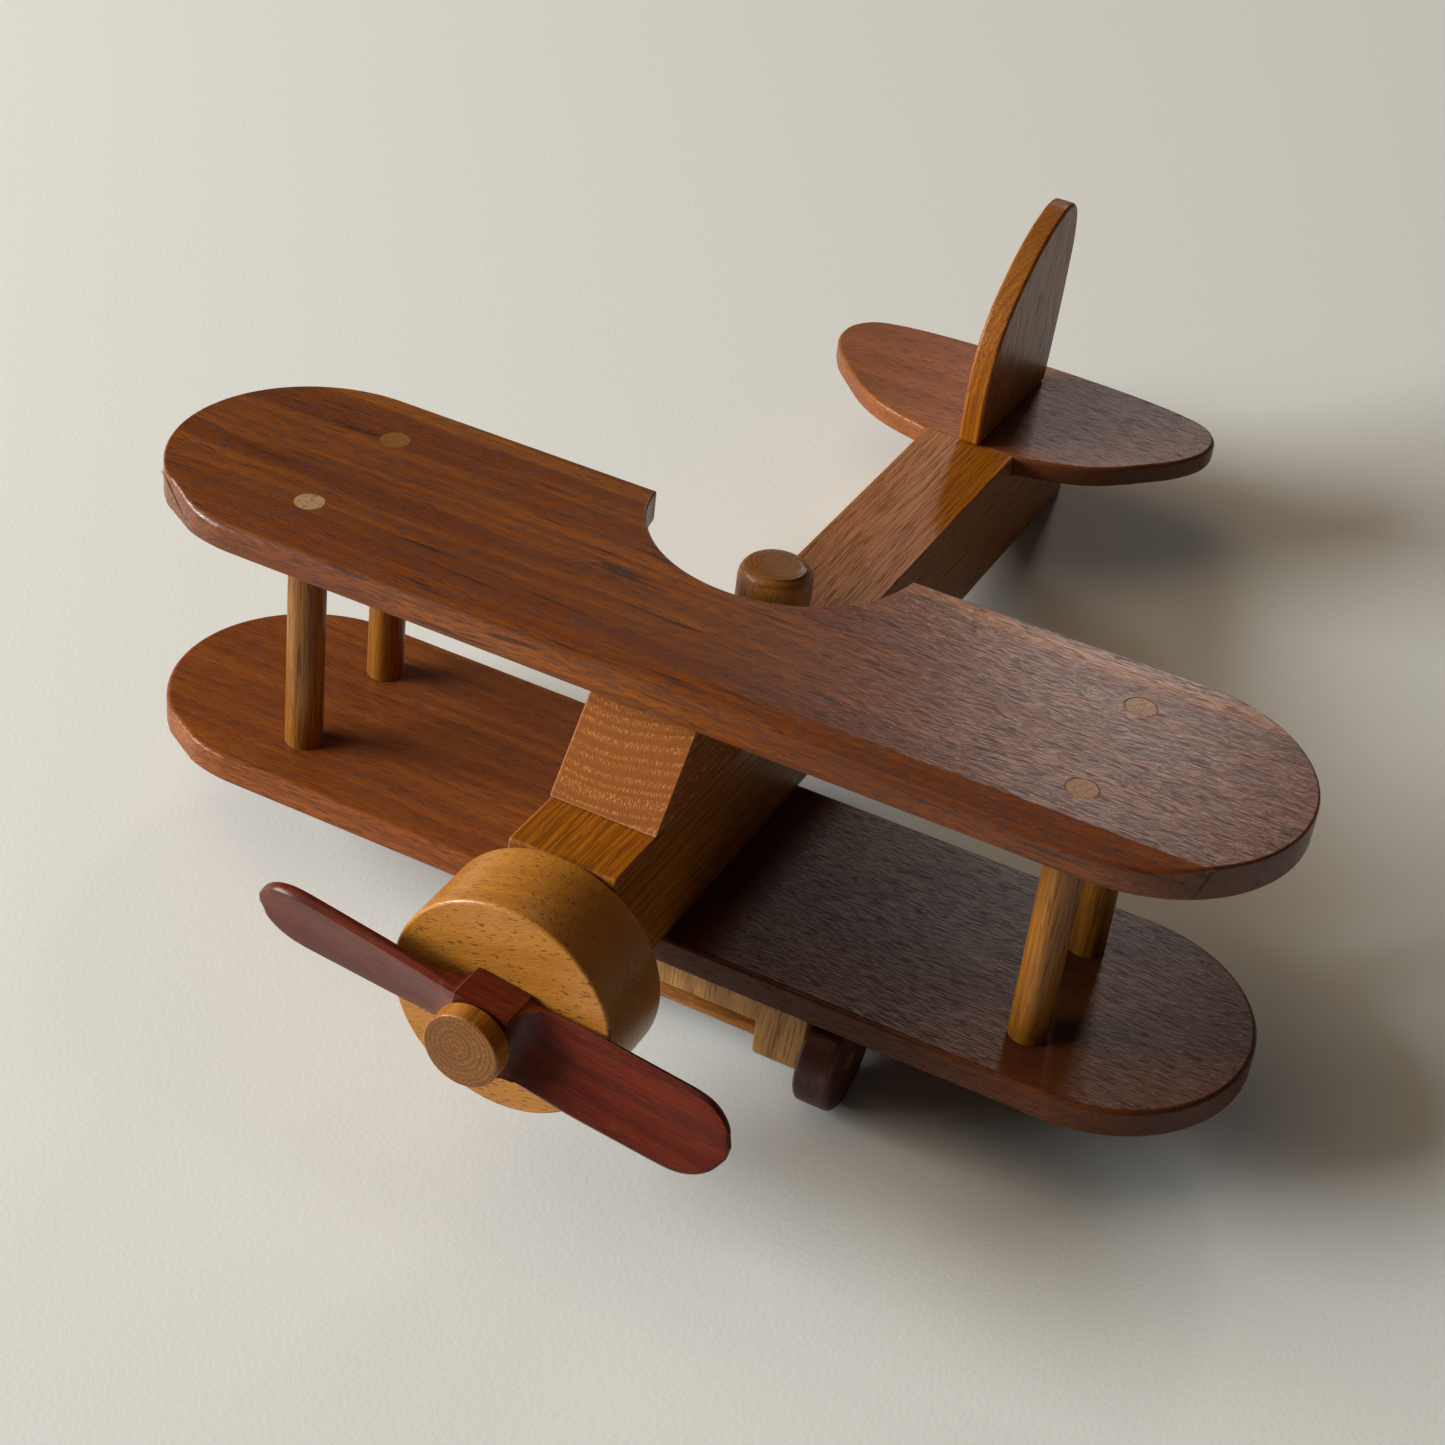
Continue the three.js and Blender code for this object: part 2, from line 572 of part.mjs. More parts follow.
// Wheels, glued onto the axle's ends.
for (const [side, sign] of SIDES) {
  const disc = turned(
    [
      [0, WHEEL_INNER_X],
      ...quarterRound(WHEEL_RADIUS - WHEEL_EASE, WHEEL_INNER_X + WHEEL_EASE, WHEEL_EASE, -90, 2),
      ...quarterRound(WHEEL_RADIUS - WHEEL_EASE, WHEEL_OUTER_X - WHEEL_EASE, WHEEL_EASE, 0, 2),
      [0, WHEEL_OUTER_X],
    ],
    DISC_FACETS,
  );
  const bore = drill(AXLE_RADIUS + TENON_FIT, WHEEL_INNER_X - 1, WHEEL_OUTER_X + 1);
  const wheel = alongX(cut(disc, [bore])).rotateZ(sign === 1 ? 0 : Math.PI);
  add(`wheel_${side}`, wheel.translate(GEAR_SHIFT, AXLE_Y, AXLE_Z), WHEEL_WOOD);
}

// ---------------------------------------------------------------- standing on the ground

// The ground touches both wheels and the fuselage's lower rear edge.
const heelY = FUSELAGE_TAIL_Y - BLOCK_EASE - AXLE_Y;
const heelZ = FUSELAGE_BOTTOM - AXLE_Z;
const parkPitch = Math.atan2(heelZ, heelY) + Math.asin(WHEEL_RADIUS / Math.hypot(heelY, heelZ));
airframe.rotation.x = -parkPitch;
airframe.updateMatrixWorld(true);
const bounds = new THREE.Box3().setFromObject(airframe, true);
airframe.position.set(0, -(bounds.min.y + bounds.max.y) / 2, -bounds.min.z);

const biplane = new THREE.Group();
biplane.add(airframe);
biplane.updateMatrixWorld(true);

export default biplane;
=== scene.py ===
"""A wooden toy biplane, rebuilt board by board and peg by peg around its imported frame.

Everything on the aeroplane is drawn level, on a bench whose axes are the airframe's own: X across
the wings, Y towards the tail, Z up.  The stance class tips each finished piece nose-up onto the
ground, where the frame holds it.  Lengths are metres; sizes are written in millimetres times MM.
"""

from __future__ import annotations

import json
import logging
import math
from dataclasses import dataclass, field, replace
from enum import Enum
from typing import Callable, Sequence

import bpy
from mathutils import Euler, Matrix, Vector

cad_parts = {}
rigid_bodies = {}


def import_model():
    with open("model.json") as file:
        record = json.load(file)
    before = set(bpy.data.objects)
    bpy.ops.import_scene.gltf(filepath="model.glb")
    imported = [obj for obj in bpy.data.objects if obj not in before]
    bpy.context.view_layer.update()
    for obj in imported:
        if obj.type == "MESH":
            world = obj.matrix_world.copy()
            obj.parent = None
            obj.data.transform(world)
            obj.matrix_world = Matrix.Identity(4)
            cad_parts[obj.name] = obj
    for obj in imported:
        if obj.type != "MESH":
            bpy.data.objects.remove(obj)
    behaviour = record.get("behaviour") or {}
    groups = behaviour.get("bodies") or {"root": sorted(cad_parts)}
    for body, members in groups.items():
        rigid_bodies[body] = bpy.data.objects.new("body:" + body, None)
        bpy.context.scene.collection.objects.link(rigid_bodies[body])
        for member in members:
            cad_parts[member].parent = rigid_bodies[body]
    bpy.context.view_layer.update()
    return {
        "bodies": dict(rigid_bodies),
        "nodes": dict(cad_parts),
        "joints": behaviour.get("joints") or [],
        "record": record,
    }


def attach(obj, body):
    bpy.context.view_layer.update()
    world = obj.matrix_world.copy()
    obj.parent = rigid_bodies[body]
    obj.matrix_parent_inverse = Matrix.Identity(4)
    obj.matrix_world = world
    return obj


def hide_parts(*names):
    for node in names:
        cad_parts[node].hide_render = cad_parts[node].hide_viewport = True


LOG = logging.getLogger("biplane")
MM = 0.001
HAIR = 0.05 * MM  # slack when a corner or a face is picked by its place

Box = tuple[Vector, Vector]


# ------------------------------------------------------------------------------ bench work


class Pick(Enum):
    """What an edit-mode selection is made of."""

    VERTS = "VERT"
    EDGES = "EDGE"
    FACES = "FACE"


def lay_down_tools() -> None:
    """Leaves edit mode and deselects everything, so that the next tool works on its own piece only."""
    if bpy.context.object is not None and bpy.context.object.mode != "OBJECT":
        bpy.ops.object.mode_set(mode="OBJECT")
    bpy.ops.object.select_all(action="DESELECT")


def take_up(piece: bpy.types.Object) -> None:
    """Makes one piece the only selected and the active one.

    Args:
        piece: the piece to work on.
    """
    lay_down_tools()
    piece.select_set(True)
    bpy.context.view_layer.objects.active = piece


def fresh(name: str) -> bpy.types.Object:
    """Names the primitive just added and moves its place and size into its mesh.

    Args:
        name: the piece's name.

    Returns:
        The new piece, its object at the origin.
    """
    piece = bpy.context.object
    piece.name = name
    piece.data.name = name
    bpy.ops.object.transform_apply(location=True, rotation=True, scale=True)
    return piece


def block(name: str, low: Sequence[float], high: Sequence[float]) -> bpy.types.Object:
    """Saws a block to size.

    Args:
        name: the piece's name.
        low: its lowest corner.
        high: its highest corner.

    Returns:
        The block.
    """
    lay_down_tools()
    middle = [(a + b) / 2 for a, b in zip(low, high)]
    sides = [b - a for a, b in zip(low, high)]
    bpy.ops.mesh.primitive_cube_add(size=1.0, location=middle, scale=sides)
    return fresh(name)


class Along(Enum):
    """The axis that a turned piece lies along, as the turn that lays it there from Z."""

    X = (0.0, math.pi / 2, 0.0)
    Y = (math.pi / 2, 0.0, 0.0)
    Z = (0.0, 0.0, 0.0)


def rod(
    name: str, radius: float, middle: Sequence[float], length: float, along: Along, facets: int = 64
) -> bpy.types.Object:
    """Cuts a round bar to length.

    Args:
        name: the piece's name.
        radius: the bar's radius.
        middle: the middle of the bar.
        length: its length.
        along: the axis that it lies along.
        facets: sides of the bar.

    Returns:
        The bar.
    """
    lay_down_tools()
    bpy.ops.mesh.primitive_cylinder_add(
        vertices=facets, radius=radius, depth=length, location=middle, rotation=along.value
    )
    return fresh(name)


def pick(piece: bpy.types.Object, kind: Pick, wanted: Callable[..., bool]) -> int:
    """Enters edit mode with only the wanted corners, edges or faces selected.

    Args:
        piece: the piece to work on.
        kind: corners, edges or faces.
        wanted: is given a corner's place, an edge's two ends, or a face's middle and normal.

    Returns:
        How many were picked.
    """
    take_up(piece)
    mesh = piece.data
    for part in (mesh.vertices, mesh.edges, mesh.polygons):
        part.foreach_set("select", [False] * len(part))
    if kind is Pick.VERTS:
        chosen = [v for v in mesh.vertices if wanted(v.co)]
    elif kind is Pick.EDGES:
        ends = mesh.vertices
        chosen = [e for e in mesh.edges if wanted(ends[e.vertices[0]].co, ends[e.vertices[1]].co)]
    else:
        chosen = [f for f in mesh.polygons if wanted(f.center, f.normal)]
    for part in chosen:
        part.select = True
    bpy.ops.object.mode_set(mode="EDIT")
    bpy.ops.mesh.select_mode(type=kind.value)
    return len(chosen)


def slice_off(piece: bpy.types.Object, place: Sequence[float], outward: Sequence[float]) -> None:
    """Planes away all of a piece that lies beyond a plane, and closes the cut.

    Args:
        piece: the piece to cut.
        place: a point on the plane.
        outward: the side that falls away.
    """
    take_up(piece)
    bpy.ops.object.mode_set(mode="EDIT")
    bpy.ops.mesh.select_all(action="SELECT")
    bpy.ops.mesh.bisect(plane_co=place, plane_no=outward, use_fill=True, clear_outer=True)
    bpy.ops.object.mode_set(mode="OBJECT")


def score(piece: bpy.types.Object, place: Sequence[float], normal: Sequence[float]) -> None:
    """Adds a loop of edges where a plane meets a piece, and takes nothing away.

    Args:
        piece: the piece to mark.
        place: a point on the plane.
        normal: the plane's normal.
    """
    take_up(piece)
    bpy.ops.object.mode_set(mode="EDIT")
    bpy.ops.mesh.select_all(action="SELECT")
    bpy.ops.mesh.bisect(plane_co=place, plane_no=normal, use_fill=False)
    bpy.ops.object.mode_set(mode="OBJECT")


def apply_modifier(piece: bpy.types.Object, kind: str, **settings: object) -> None:
    """Adds a modifier to a piece and applies it.

    Args:
        piece: the piece to change.
        kind: the modifier's type.
        settings: the modifier's own settings.
    """
    take_up(piece)
    modifier = piece.modifiers.new(kind.lower(), kind)
    for setting, value in settings.items():
        setattr(modifier, setting, value)
    bpy.ops.object.modifier_apply(modifier=modifier.name)


def carve(piece: bpy.types.Object, cutter: bpy.types.Object) -> None:
    """Cuts one shape out of a piece, and throws the cutter away.

    Args:
        piece: the piece to cut.
        cutter: the shape to take out of it.
    """
    apply_modifier(piece, "BOOLEAN", operation="DIFFERENCE", solver="EXACT", object=cutter)
    bpy.data.objects.remove(cutter)


def ease(piece: bpy.types.Object, width: float, segments: int = 3, angle: float = 30.0) -> None:
    """Sands every sharp edge of a piece round.

    Args:
        piece: the piece to sand.
        width: how far the rounding reaches from the edge.
        segments: steps in the rounding.
        angle: the sharpest corner, in degrees, that is left alone.
    """
    apply_modifier(
        piece,
        "BEVEL",
        width=width,
        segments=segments,
        limit_method="ANGLE",
        angle_limit=math.radians(angle),
        use_clamp_overlap=True,
    )


def ease_by_place(
    piece: bpy.types.Object,
    width: float,
    share: Callable[[Vector, Vector], float],
    segments: int = 4,
) -> None:
    """Sands a piece's edges round, each as much as its place asks for.

    Args:
        piece: the piece to sand.
        width: the widest rounding.
        share: is given an edge's two ends, and says how much of the width that edge gets.
        segments: steps in the rounding.
    """
    mesh = piece.data
    ends = mesh.vertices
    weights = mesh.attributes.new("bevel_weight_edge", "FLOAT", "EDGE")
    values = [share(ends[e.vertices[0]].co, ends[e.vertices[1]].co) for e in mesh.edges]
    weights.data.foreach_set("value", values)
    apply_modifier(
        piece, "BEVEL", width=width, segments=segments, limit_method="WEIGHT", use_clamp_overlap=True
    )
    mesh.attributes.remove(mesh.attributes["bevel_weight_edge"])


def smooth(piece: bpy.types.Object, angle: float = 35.0) -> None:
    """Shades a piece smooth across its rounded edges and flat on its faces.

    Args:
        piece: the finished piece.
        angle: the corner, in degrees, past which an edge stays sharp.
    """
    take_up(piece)
    bpy.ops.object.shade_smooth_by_angle(angle=math.radians(angle))
    apply_modifier(piece, "WEIGHTED_NORMAL", keep_sharp=True, weight=100, mode="FACE_AREA")


# ------------------------------------------------------------------------------ stance


class Stance:
    """How the level bench drawing stands on the ground: turned nose-up about the X axis."""

    def __init__(self, frame: dict) -> None:
        """Reads the pitch from the propeller's axis.
        """
        self.nodes: dict[str, bpy.types.Object] = frame["nodes"]
        self.joints: dict[str, dict] = {joint["name"]: joint for joint in frame["joints"]}
        axis = Vector(self.joints["propeller_spin"]["axis"])
        self.pitch = math.atan2(abs(axis.z), abs(axis.y))
        self.to_bench = Matrix.Rotation(self.pitch, 4, "X")
        self.to_ground = self.to_bench.inverted()

    def box(self, node: str) -> Box:
        """A node's lowest and highest corners, level on the bench."""
        places = [self.to_bench @ v.co for v in self.nodes[node].data.vertices]
        low = Vector([min(p[k] for p in places) for k in range(3)])
        high = Vector([max(p[k] for p in places) for k in range(3)])
        return low, high

    def joint(self, name: str) -> Vector:
        """A joint's place, level on the bench."""
        return self.to_bench @ Vector(self.joints[name]["pos_m"])

    def stand(
        self, piece: bpy.types.Object, node: str, slot: str, body: str, angle: float = 35.0
    ) -> None:
        """Tips a finished piece into its place in the frame and puts it in its node's stead.

        Args:
            piece: the piece, drawn level.
            node: the node that it stands for.
            slot: the record's material slot; not used.
            body: the body that it rides on.
            angle: the corner, in degrees, past which its edges stay sharp.
        """
        take_up(piece)
        piece.matrix_world = self.to_ground
        bpy.ops.object.transform_apply(location=True, rotation=True, scale=True)
        smooth(piece, angle)
        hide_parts(node)
        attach(piece, body)
        LOG.info("%s: %d faces, rides on %s", piece.name, len(piece.data.polygons), body)


# ------------------------------------------------------------------------------ timbers


def linear(colour: str) -> tuple[float, float, float, float]:
    """Turns an sRGB hex colour into linear light.

    Args:
        colour: six hex digits.

    Returns:
        Linear red, green, blue and full alpha.
    """
    channels = [int(colour[k : k + 2], 16) / 255 for k in (0, 2, 4)]
    light = [c / 12.92 if c <= 0.04045 else ((c + 0.055) / 1.055) ** 2.4 for c in channels]
    return (light[0], light[1], light[2], 1.0)


def add_node(
    tree: bpy.types.NodeTree, kind: str, inputs: dict[str | int, object] | None = None, **settings: object
) -> bpy.types.Node:
    """Adds one node to a tree, with its settings, its values and its links.

    Args:
        tree: the tree that it goes into.
        kind: the node's type.
        inputs: for a socket's name or number, a value or the socket that feeds it.
        settings: the node's own settings.

    Returns:
        The new node.
    """
    made = tree.nodes.new(kind)
    for setting, value in settings.items():
        setattr(made, setting, value)
    for socket, value in (inputs or {}).items():
        if isinstance(value, bpy.types.NodeSocket):
            tree.links.new(value, made.inputs[socket])
        else:
            made.inputs[socket].default_value = value
    return made


class Grain(Enum):
    """The way the fibres run on the bench, as the turn that brings them onto X."""

    ACROSS = (0.0, 0.0, 0.0)
    BACKWARD = (0.0, 0.0, -90.0)
    UPWARD = (0.0, 90.0, 0.0)


@dataclass(frozen=True)
class Streak:
    """A band of other-coloured wood that runs along the fibres at one place in a board."""

    colour: str
    middle: float  # its place across the fibres, in millimetres
    width: float
    show: float


@dataclass(frozen=True)
class Timber:
    """One kind of wood, oiled or varnished: its colours, its figure and its shine.

    Sizes of the figure are in millimetres.  The figure is solid, like a real log's: rings about a
    pith line, fibres and pores along it, so faces, edges and end grain all cut through one pattern.
    """

    label: str
    early: str  # the lighter wood of each year's growth
    late: str  # the darker wood at the end of it
    cast: str  # what slow patches of the board lean towards
    pore: str  # the colour that shows in the open pores
    ring: float = 4.0  # width of one year's growth
    ring_show: float = 0.5  # how much of the late colour its rings take
    pith: tuple[float, float] = (-60.0, 90.0)  # the log's middle, seen along the fibres
    sway: float = 5.0  # how far the fibres wander
    fine_show: float = 0.35  # how much the finest fibres darken
    pore_length: float = 8.0
    pore_width: float = 0.4
    pore_tall: float = 1.0  # how much longer a pore is up and down than side to side
    pore_show: float = 0.5
    pore_from: float = 0.56  # noise level where a pore starts: higher is fewer
    pore_in_rings: float = 0.0  # how far the pores keep to the early wood
    cast_show: float = 0.5
    fleck: str = "000000"
    fleck_show: float = 0.0
    fleck_length: float = 2.2
    fleck_width: float = 0.6
    mineral: str = "000000"
    mineral_show: float = 0.0  # strength of the few long dark mineral marks
    streaks: tuple[Streak, ...] = ()
    end: str = "4a2c14"  # the tone of end grain, where the oil soaked in
    end_show: float = 0.3
    worn: str = "c8a070"  # the paler wood where a sanded edge lost its oil
    worn_show: float = 0.2
    roughness: float = 0.36
    coat: float = 0.1
    coat_roughness: float = 0.22
    specular: float = 0.35
    relief: float = 0.05  # depth of the pores
    painted_shade: str = "000000"  # painted shade: the darker colour laid over the board further along it, where less light falls
    painted_shade_span: tuple[float, float] = (0.0, 100.0)  # where that painted shade starts and is full, in millimetres
    # how much of that painted shade is laid on
    painted_shade_show: float = 0.0

    def dress(
        self,
        piece: bpy.types.Object,
        stance: Stance,
        grain: Grain,
        shift: Sequence[float] = (0.0, 0.0, 0.0),
        lean: float = 0.0,
    ) -> None:
        """Gives a piece this wood, with the fibres the right way and a stretch of log of its own.

        Args:
            piece: the piece, standing in its place.
            stance: turns the ground's axes level.
            grain: the way the fibres run on the bench.
            shift: which stretch of the log the piece is cut from, in millimetres.
            lean: turns the fibres about the bench's Y axis, in degrees.
        """
        material = bpy.data.materials.new(f"{self.label}_{piece.name}")
        material.use_nodes = True
        tree = material.node_tree
        tree.nodes.clear()
        turn = (
            Euler([math.radians(a) for a in grain.value]).to_matrix().to_4x4()
            @ Matrix.Rotation(math.radians(lean), 4, "Y")
            @ stance.to_bench
        )
        place = add_node(tree, "ShaderNodeTexCoord")
        level = add_node(
            tree,
            "ShaderNodeMapping",
            {
                "Vector": place.outputs["Object"],
                "Scale": (1 / MM,) * 3,
                "Rotation": turn.to_euler(),
                "Location": tuple(shift),
            },
            vector_type="POINT",
        )
        fibres = self._wander(tree, level.outputs["Vector"])
        band = self._rings(tree, fibres)
        pores = self._pores(tree, fibres, band)
        along = turn.to_3x3().inverted() @ Vector((1.0, 0.0, 0.0))
        ends = self._ends(tree, place.outputs["Normal"], along)
        colour = self._colour(tree, fibres, band, pores, ends)
        self._surface(tree, colour, fibres, band, pores)
        piece.data.materials.clear()
        piece.data.materials.append(material)

    def _wander(self, tree: bpy.types.NodeTree, level: bpy.types.NodeSocket) -> bpy.types.NodeSocket:
        """Bends straight fibres slowly, as a tree grows them.

        Args:
            tree: the material's tree.
            level: place in the log, in millimetres.

        Returns:
            The bent place.
        """
        stretched = add_node(
            tree,
            "ShaderNodeVectorMath",
            {0: level, 1: (1 / 90, 1 / 34, 1 / 34)},
            operation="MULTIPLY",
        )
        slow = add_node(
            tree,
            "ShaderNodeTexNoise",
            {"Vector": stretched.outputs[0], "Scale": 1.0, "Detail": 2.0, "Roughness": 0.45},
        )
        centred = add_node(
            tree, "ShaderNodeVectorMath", {0: slow.outputs["Color"], 1: (0.5,) * 3}, operation="SUBTRACT"
        )
        sideways = add_node(
            tree,
            "ShaderNodeVectorMath",
            {0: centred.outputs[0], 1: (0.0, 2 * self.sway, 2 * self.sway)},
            operation="MULTIPLY",
        )
        bent = add_node(
            tree, "ShaderNodeVectorMath", {0: level, 1: sideways.outputs[0]}, operation="ADD"
        )
        return bent.outputs[0]

    def _rings(self, tree: bpy.types.NodeTree, fibres: bpy.types.NodeSocket) -> bpy.types.NodeSocket:
        """Grows the year rings about the log's pith.

        Args:
            tree: the material's tree.
            fibres: bent place in the log, in millimetres.

        Returns:
            0 in early wood, rising to 1 in late wood and falling back at each year's end.
        """
        from_pith = add_node(
            tree,
            "ShaderNodeVectorMath",
            {0: fibres, 1: (0.0, self.pith[0], self.pith[1])},
            operation="SUBTRACT",
        )
        flat = add_node(
            tree,
            "ShaderNodeVectorMath",
            {0: from_pith.outputs[0], 1: (0.0, 1.0, 1.0)},
            operation="MULTIPLY",
        )
        radius = add_node(tree, "ShaderNodeVectorMath", {0: flat.outputs[0]}, operation="LENGTH")
        years = add_node(
            tree, "ShaderNodeMath", {0: radius.outputs["Value"], 1: self.ring}, operation="DIVIDE"
        )
        uneven = add_node(
            tree,
            "ShaderNodeTexNoise",
            {"W": years.outputs[0], "Scale": 0.6, "Detail": 1.0},
            noise_dimensions="1D",
        )
        year = add_node(
            tree,
            "ShaderNodeMath",
            {0: uneven.outputs[0], 1: 1.3, 2: years.outputs[0]},
            operation="MULTIPLY_ADD",
        )
        part = add_node(tree, "ShaderNodeMath", {0: year.outputs[0]}, operation="FRACT")
        rise = add_node(
            tree,
            "ShaderNodeMapRange",
            {"Value": part.outputs[0], "From Min": 0.2, "From Max": 0.8},
            interpolation_type="SMOOTHSTEP",
        )
        fall = add_node(
            tree,
            "ShaderNodeMapRange",
            {"Value": part.outputs[0], "From Min": 1.0, "From Max": 0.86},
            interpolation_type="SMOOTHSTEP",
        )
        band = add_node(
            tree, "ShaderNodeMath", {0: rise.outputs[0], 1: fall.outputs[0]}, operation="MULTIPLY"
        )
        return band.outputs[0]

    def _specks(
        self,
        tree: bpy.types.NodeTree,
        fibres: bpy.types.NodeSocket,
        size: tuple[float, float, float],
        span: tuple[float, float],
    ) -> bpy.types.NodeSocket:
        """Scatters marks drawn out along the fibres.

        Args:
            tree: the material's tree.
            fibres: bent place in the log, in millimetres.
            size: a mark's length and its two widths, in millimetres.
            span: noise levels where a mark starts and where it is full.

        Returns:
            1 on a mark, 0 beside it.
        """
        drawn = add_node(
            tree,
            "ShaderNodeVectorMath",
            {0: fibres, 1: tuple(1 / side for side in size)},
            operation="MULTIPLY",
        )
        noise = add_node(
            tree,
            "ShaderNodeTexNoise",
            {"Vector": drawn.outputs[0], "Scale": 1.0, "Detail": 2.0, "Roughness": 0.5},
        )
        mark = add_node(
            tree,
            "ShaderNodeMapRange",
            {"Value": noise.outputs[0], "From Min": span[0], "From Max": span[1]},
            interpolation_type="SMOOTHSTEP",
        )
        return mark.outputs[0]

    def _pores(
        self, tree: bpy.types.NodeTree, fibres: bpy.types.NodeSocket, band: bpy.types.NodeSocket
    ) -> bpy.types.NodeSocket:
        """Opens the pores: streaks along the fibres, dots on end grain.

        Args:
            tree: the material's tree.
            fibres: bent place in the log, in millimetres.
            band: late wood's share.

        Returns:
            1 in a pore, 0 beside it.
        """
        size = (self.pore_length, self.pore_width, self.pore_width * self.pore_tall)
        pores = self._specks(tree, fibres, size, (self.pore_from, self.pore_from + 0.06))
        keep = add_node(
            tree,
            "ShaderNodeMapRange",
            {
                "Value": band,
                "From Min": 0.05,
                "From Max": 0.55,
                "To Min": 1.0,
                "To Max": 1.0 - self.pore_in_rings,
            },
        )
        kept = add_node(tree, "ShaderNodeMath", {0: pores, 1: keep.outputs[0]}, operation="MULTIPLY")
        return kept.outputs[0]

    def _ends(
        self, tree: bpy.types.NodeTree, normal: bpy.types.NodeSocket, along: Vector
    ) -> bpy.types.NodeSocket:
        """Finds end grain, where the surface faces along the fibres.

        Args:
            tree: the material's tree.
            normal: the surface's normal on the piece itself.
            along: the way the fibres run on the piece.

        Returns:
            1 on end grain, 0 on long grain.
        """
        facing = add_node(
            tree, "ShaderNodeVectorMath", {0: normal, 1: tuple(along)}, operation="DOT_PRODUCT"
        )
        either = add_node(tree, "ShaderNodeMath", {0: facing.outputs["Value"]}, operation="ABSOLUTE")
        ends = add_node(
            tree,
            "ShaderNodeMapRange",
            {"Value": either.outputs[0], "From Min": 0.35, "From Max": 0.95},
            interpolation_type="SMOOTHSTEP",
        )
        return ends.outputs[0]

    def _streak(
        self, tree: bpy.types.NodeTree, fibres: bpy.types.NodeSocket, streak: Streak
    ) -> bpy.types.NodeSocket:
        """Runs one band of other wood along the fibres.

        Args:
            tree: the material's tree.
            fibres: bent place in the log, in millimetres.
            streak: the band.

        Returns:
            1 in the band's middle, 0 outside it.
        """
        across = add_node(tree, "ShaderNodeSeparateXYZ", {0: fibres})
        off = add_node(
            tree, "ShaderNodeMath", {0: across.outputs["Y"], 1: streak.middle}, operation="SUBTRACT"
        )
        away = add_node(tree, "ShaderNodeMath", {0: off.outputs[0]}, operation="ABSOLUTE")
        band = add_node(
            tree,
            "ShaderNodeMapRange",
            {"Value": away.outputs[0], "From Min": streak.width / 2, "From Max": streak.width / 5},
            interpolation_type="SMOOTHSTEP",
        )
        return band.outputs[0]

    def _painted_shade_ramp(self, tree: bpy.types.NodeTree, fibres: bpy.types.NodeSocket) -> bpy.types.NodeSocket:
        """Paints shade onto the board: a slow darkening along its length, standing in for less light.

        Args:
            tree: the material's tree.
            fibres: bent place in the log, in millimetres.

        Returns:
            0 before the painted shade, 1 where it is full.
        """
        along = add_node(tree, "ShaderNodeSeparateXYZ", {0: fibres})
        start, full = self.painted_shade_span
        change = add_node(
            tree,
            "ShaderNodeMapRange",
            {"Value": along.outputs["X"], "From Min": start, "From Max": full},
            interpolation_type="SMOOTHSTEP",
        )
        return change.outputs[0]

    def _colour(
        self,
        tree: bpy.types.NodeTree,
        fibres: bpy.types.NodeSocket,
        band: bpy.types.NodeSocket,
        pores: bpy.types.NodeSocket,
        ends: bpy.types.NodeSocket,
    ) -> bpy.types.NodeSocket:
        """Lays the colours over each other: rings, slow patches, painted shade along the board, streaks, fibres,
        pores, flecks, wear.

        Args:
            tree: the material's tree.
            fibres: bent place in the log, in millimetres.
            band: late wood's share.
            pores: the pores' share.
            ends: end grain's share.

        Returns:
            The wood's colour.
        """
        patch = self._specks(tree, fibres, (120.0, 11.0, 11.0), (0.38, 0.64))
        layers = [(band, self.ring_show, self.late), (patch, self.cast_show, self.cast)]
        # painted shade: darkens the board along its length, standing in for light that falls off
        if self.painted_shade_show:
            layers.append((self._painted_shade_ramp(tree, fibres), self.painted_shade_show, self.painted_shade))
        layers += [(self._streak(tree, fibres, s), s.show, s.colour) for s in self.streaks]
        fine = self._specks(tree, fibres, (17.0, 0.5, 0.5), (0.4, 0.66))
        layers += [(ends, self.end_show, self.end), (fine, self.fine_show, self.late)]
        if self.mineral_show:
            marks = self._specks(tree, fibres, (34.0, 2.4, 2.4), (0.62, 0.7))
            layers.append((marks, self.mineral_show, self.mineral))
        layers.append((pores, self.pore_show, self.pore))
        if self.fleck_show:
            size = (self.fleck_length, self.fleck_width, self.fleck_width)
            layers.append((self._specks(tree, fibres, size, (0.6, 0.68)), self.fleck_show, self.fleck))
        layers.append((self._edges(tree), self.worn_show, self.worn))
        colour: object = linear(self.early)
        for share, strength, tint in layers:
            amount = add_node(tree, "ShaderNodeMath", {0: share, 1: strength}, operation="MULTIPLY")
            mixed = add_node(
                tree,
                "ShaderNodeMix",
                {0: amount.outputs[0], 6: colour, 7: linear(tint)},
                data_type="RGBA",
            )
            colour = mixed.outputs[2]
        return colour

    def _edges(self, tree: bpy.types.NodeTree) -> bpy.types.NodeSocket:
        """Finds the edges, where a rounded normal leaves the true one.

        Args:
            tree: the material's tree.

        Returns:
            1 on an edge, 0 on a flat.
        """
        rounded = add_node(tree, "ShaderNodeBevel", {"Radius": 0.8 * MM}, samples=4)
        true = add_node(tree, "ShaderNodeNewGeometry")
        match = add_node(
            tree,
            "ShaderNodeVectorMath",
            {0: rounded.outputs[0], 1: true.outputs["Normal"]},
            operation="DOT_PRODUCT",
        )
        edge = add_node(
            tree,
            "ShaderNodeMapRange",
            {"Value": match.outputs["Value"], "From Min": 0.99, "From Max": 0.88},
            interpolation_type="SMOOTHSTEP",
        )
        return edge.outputs[0]

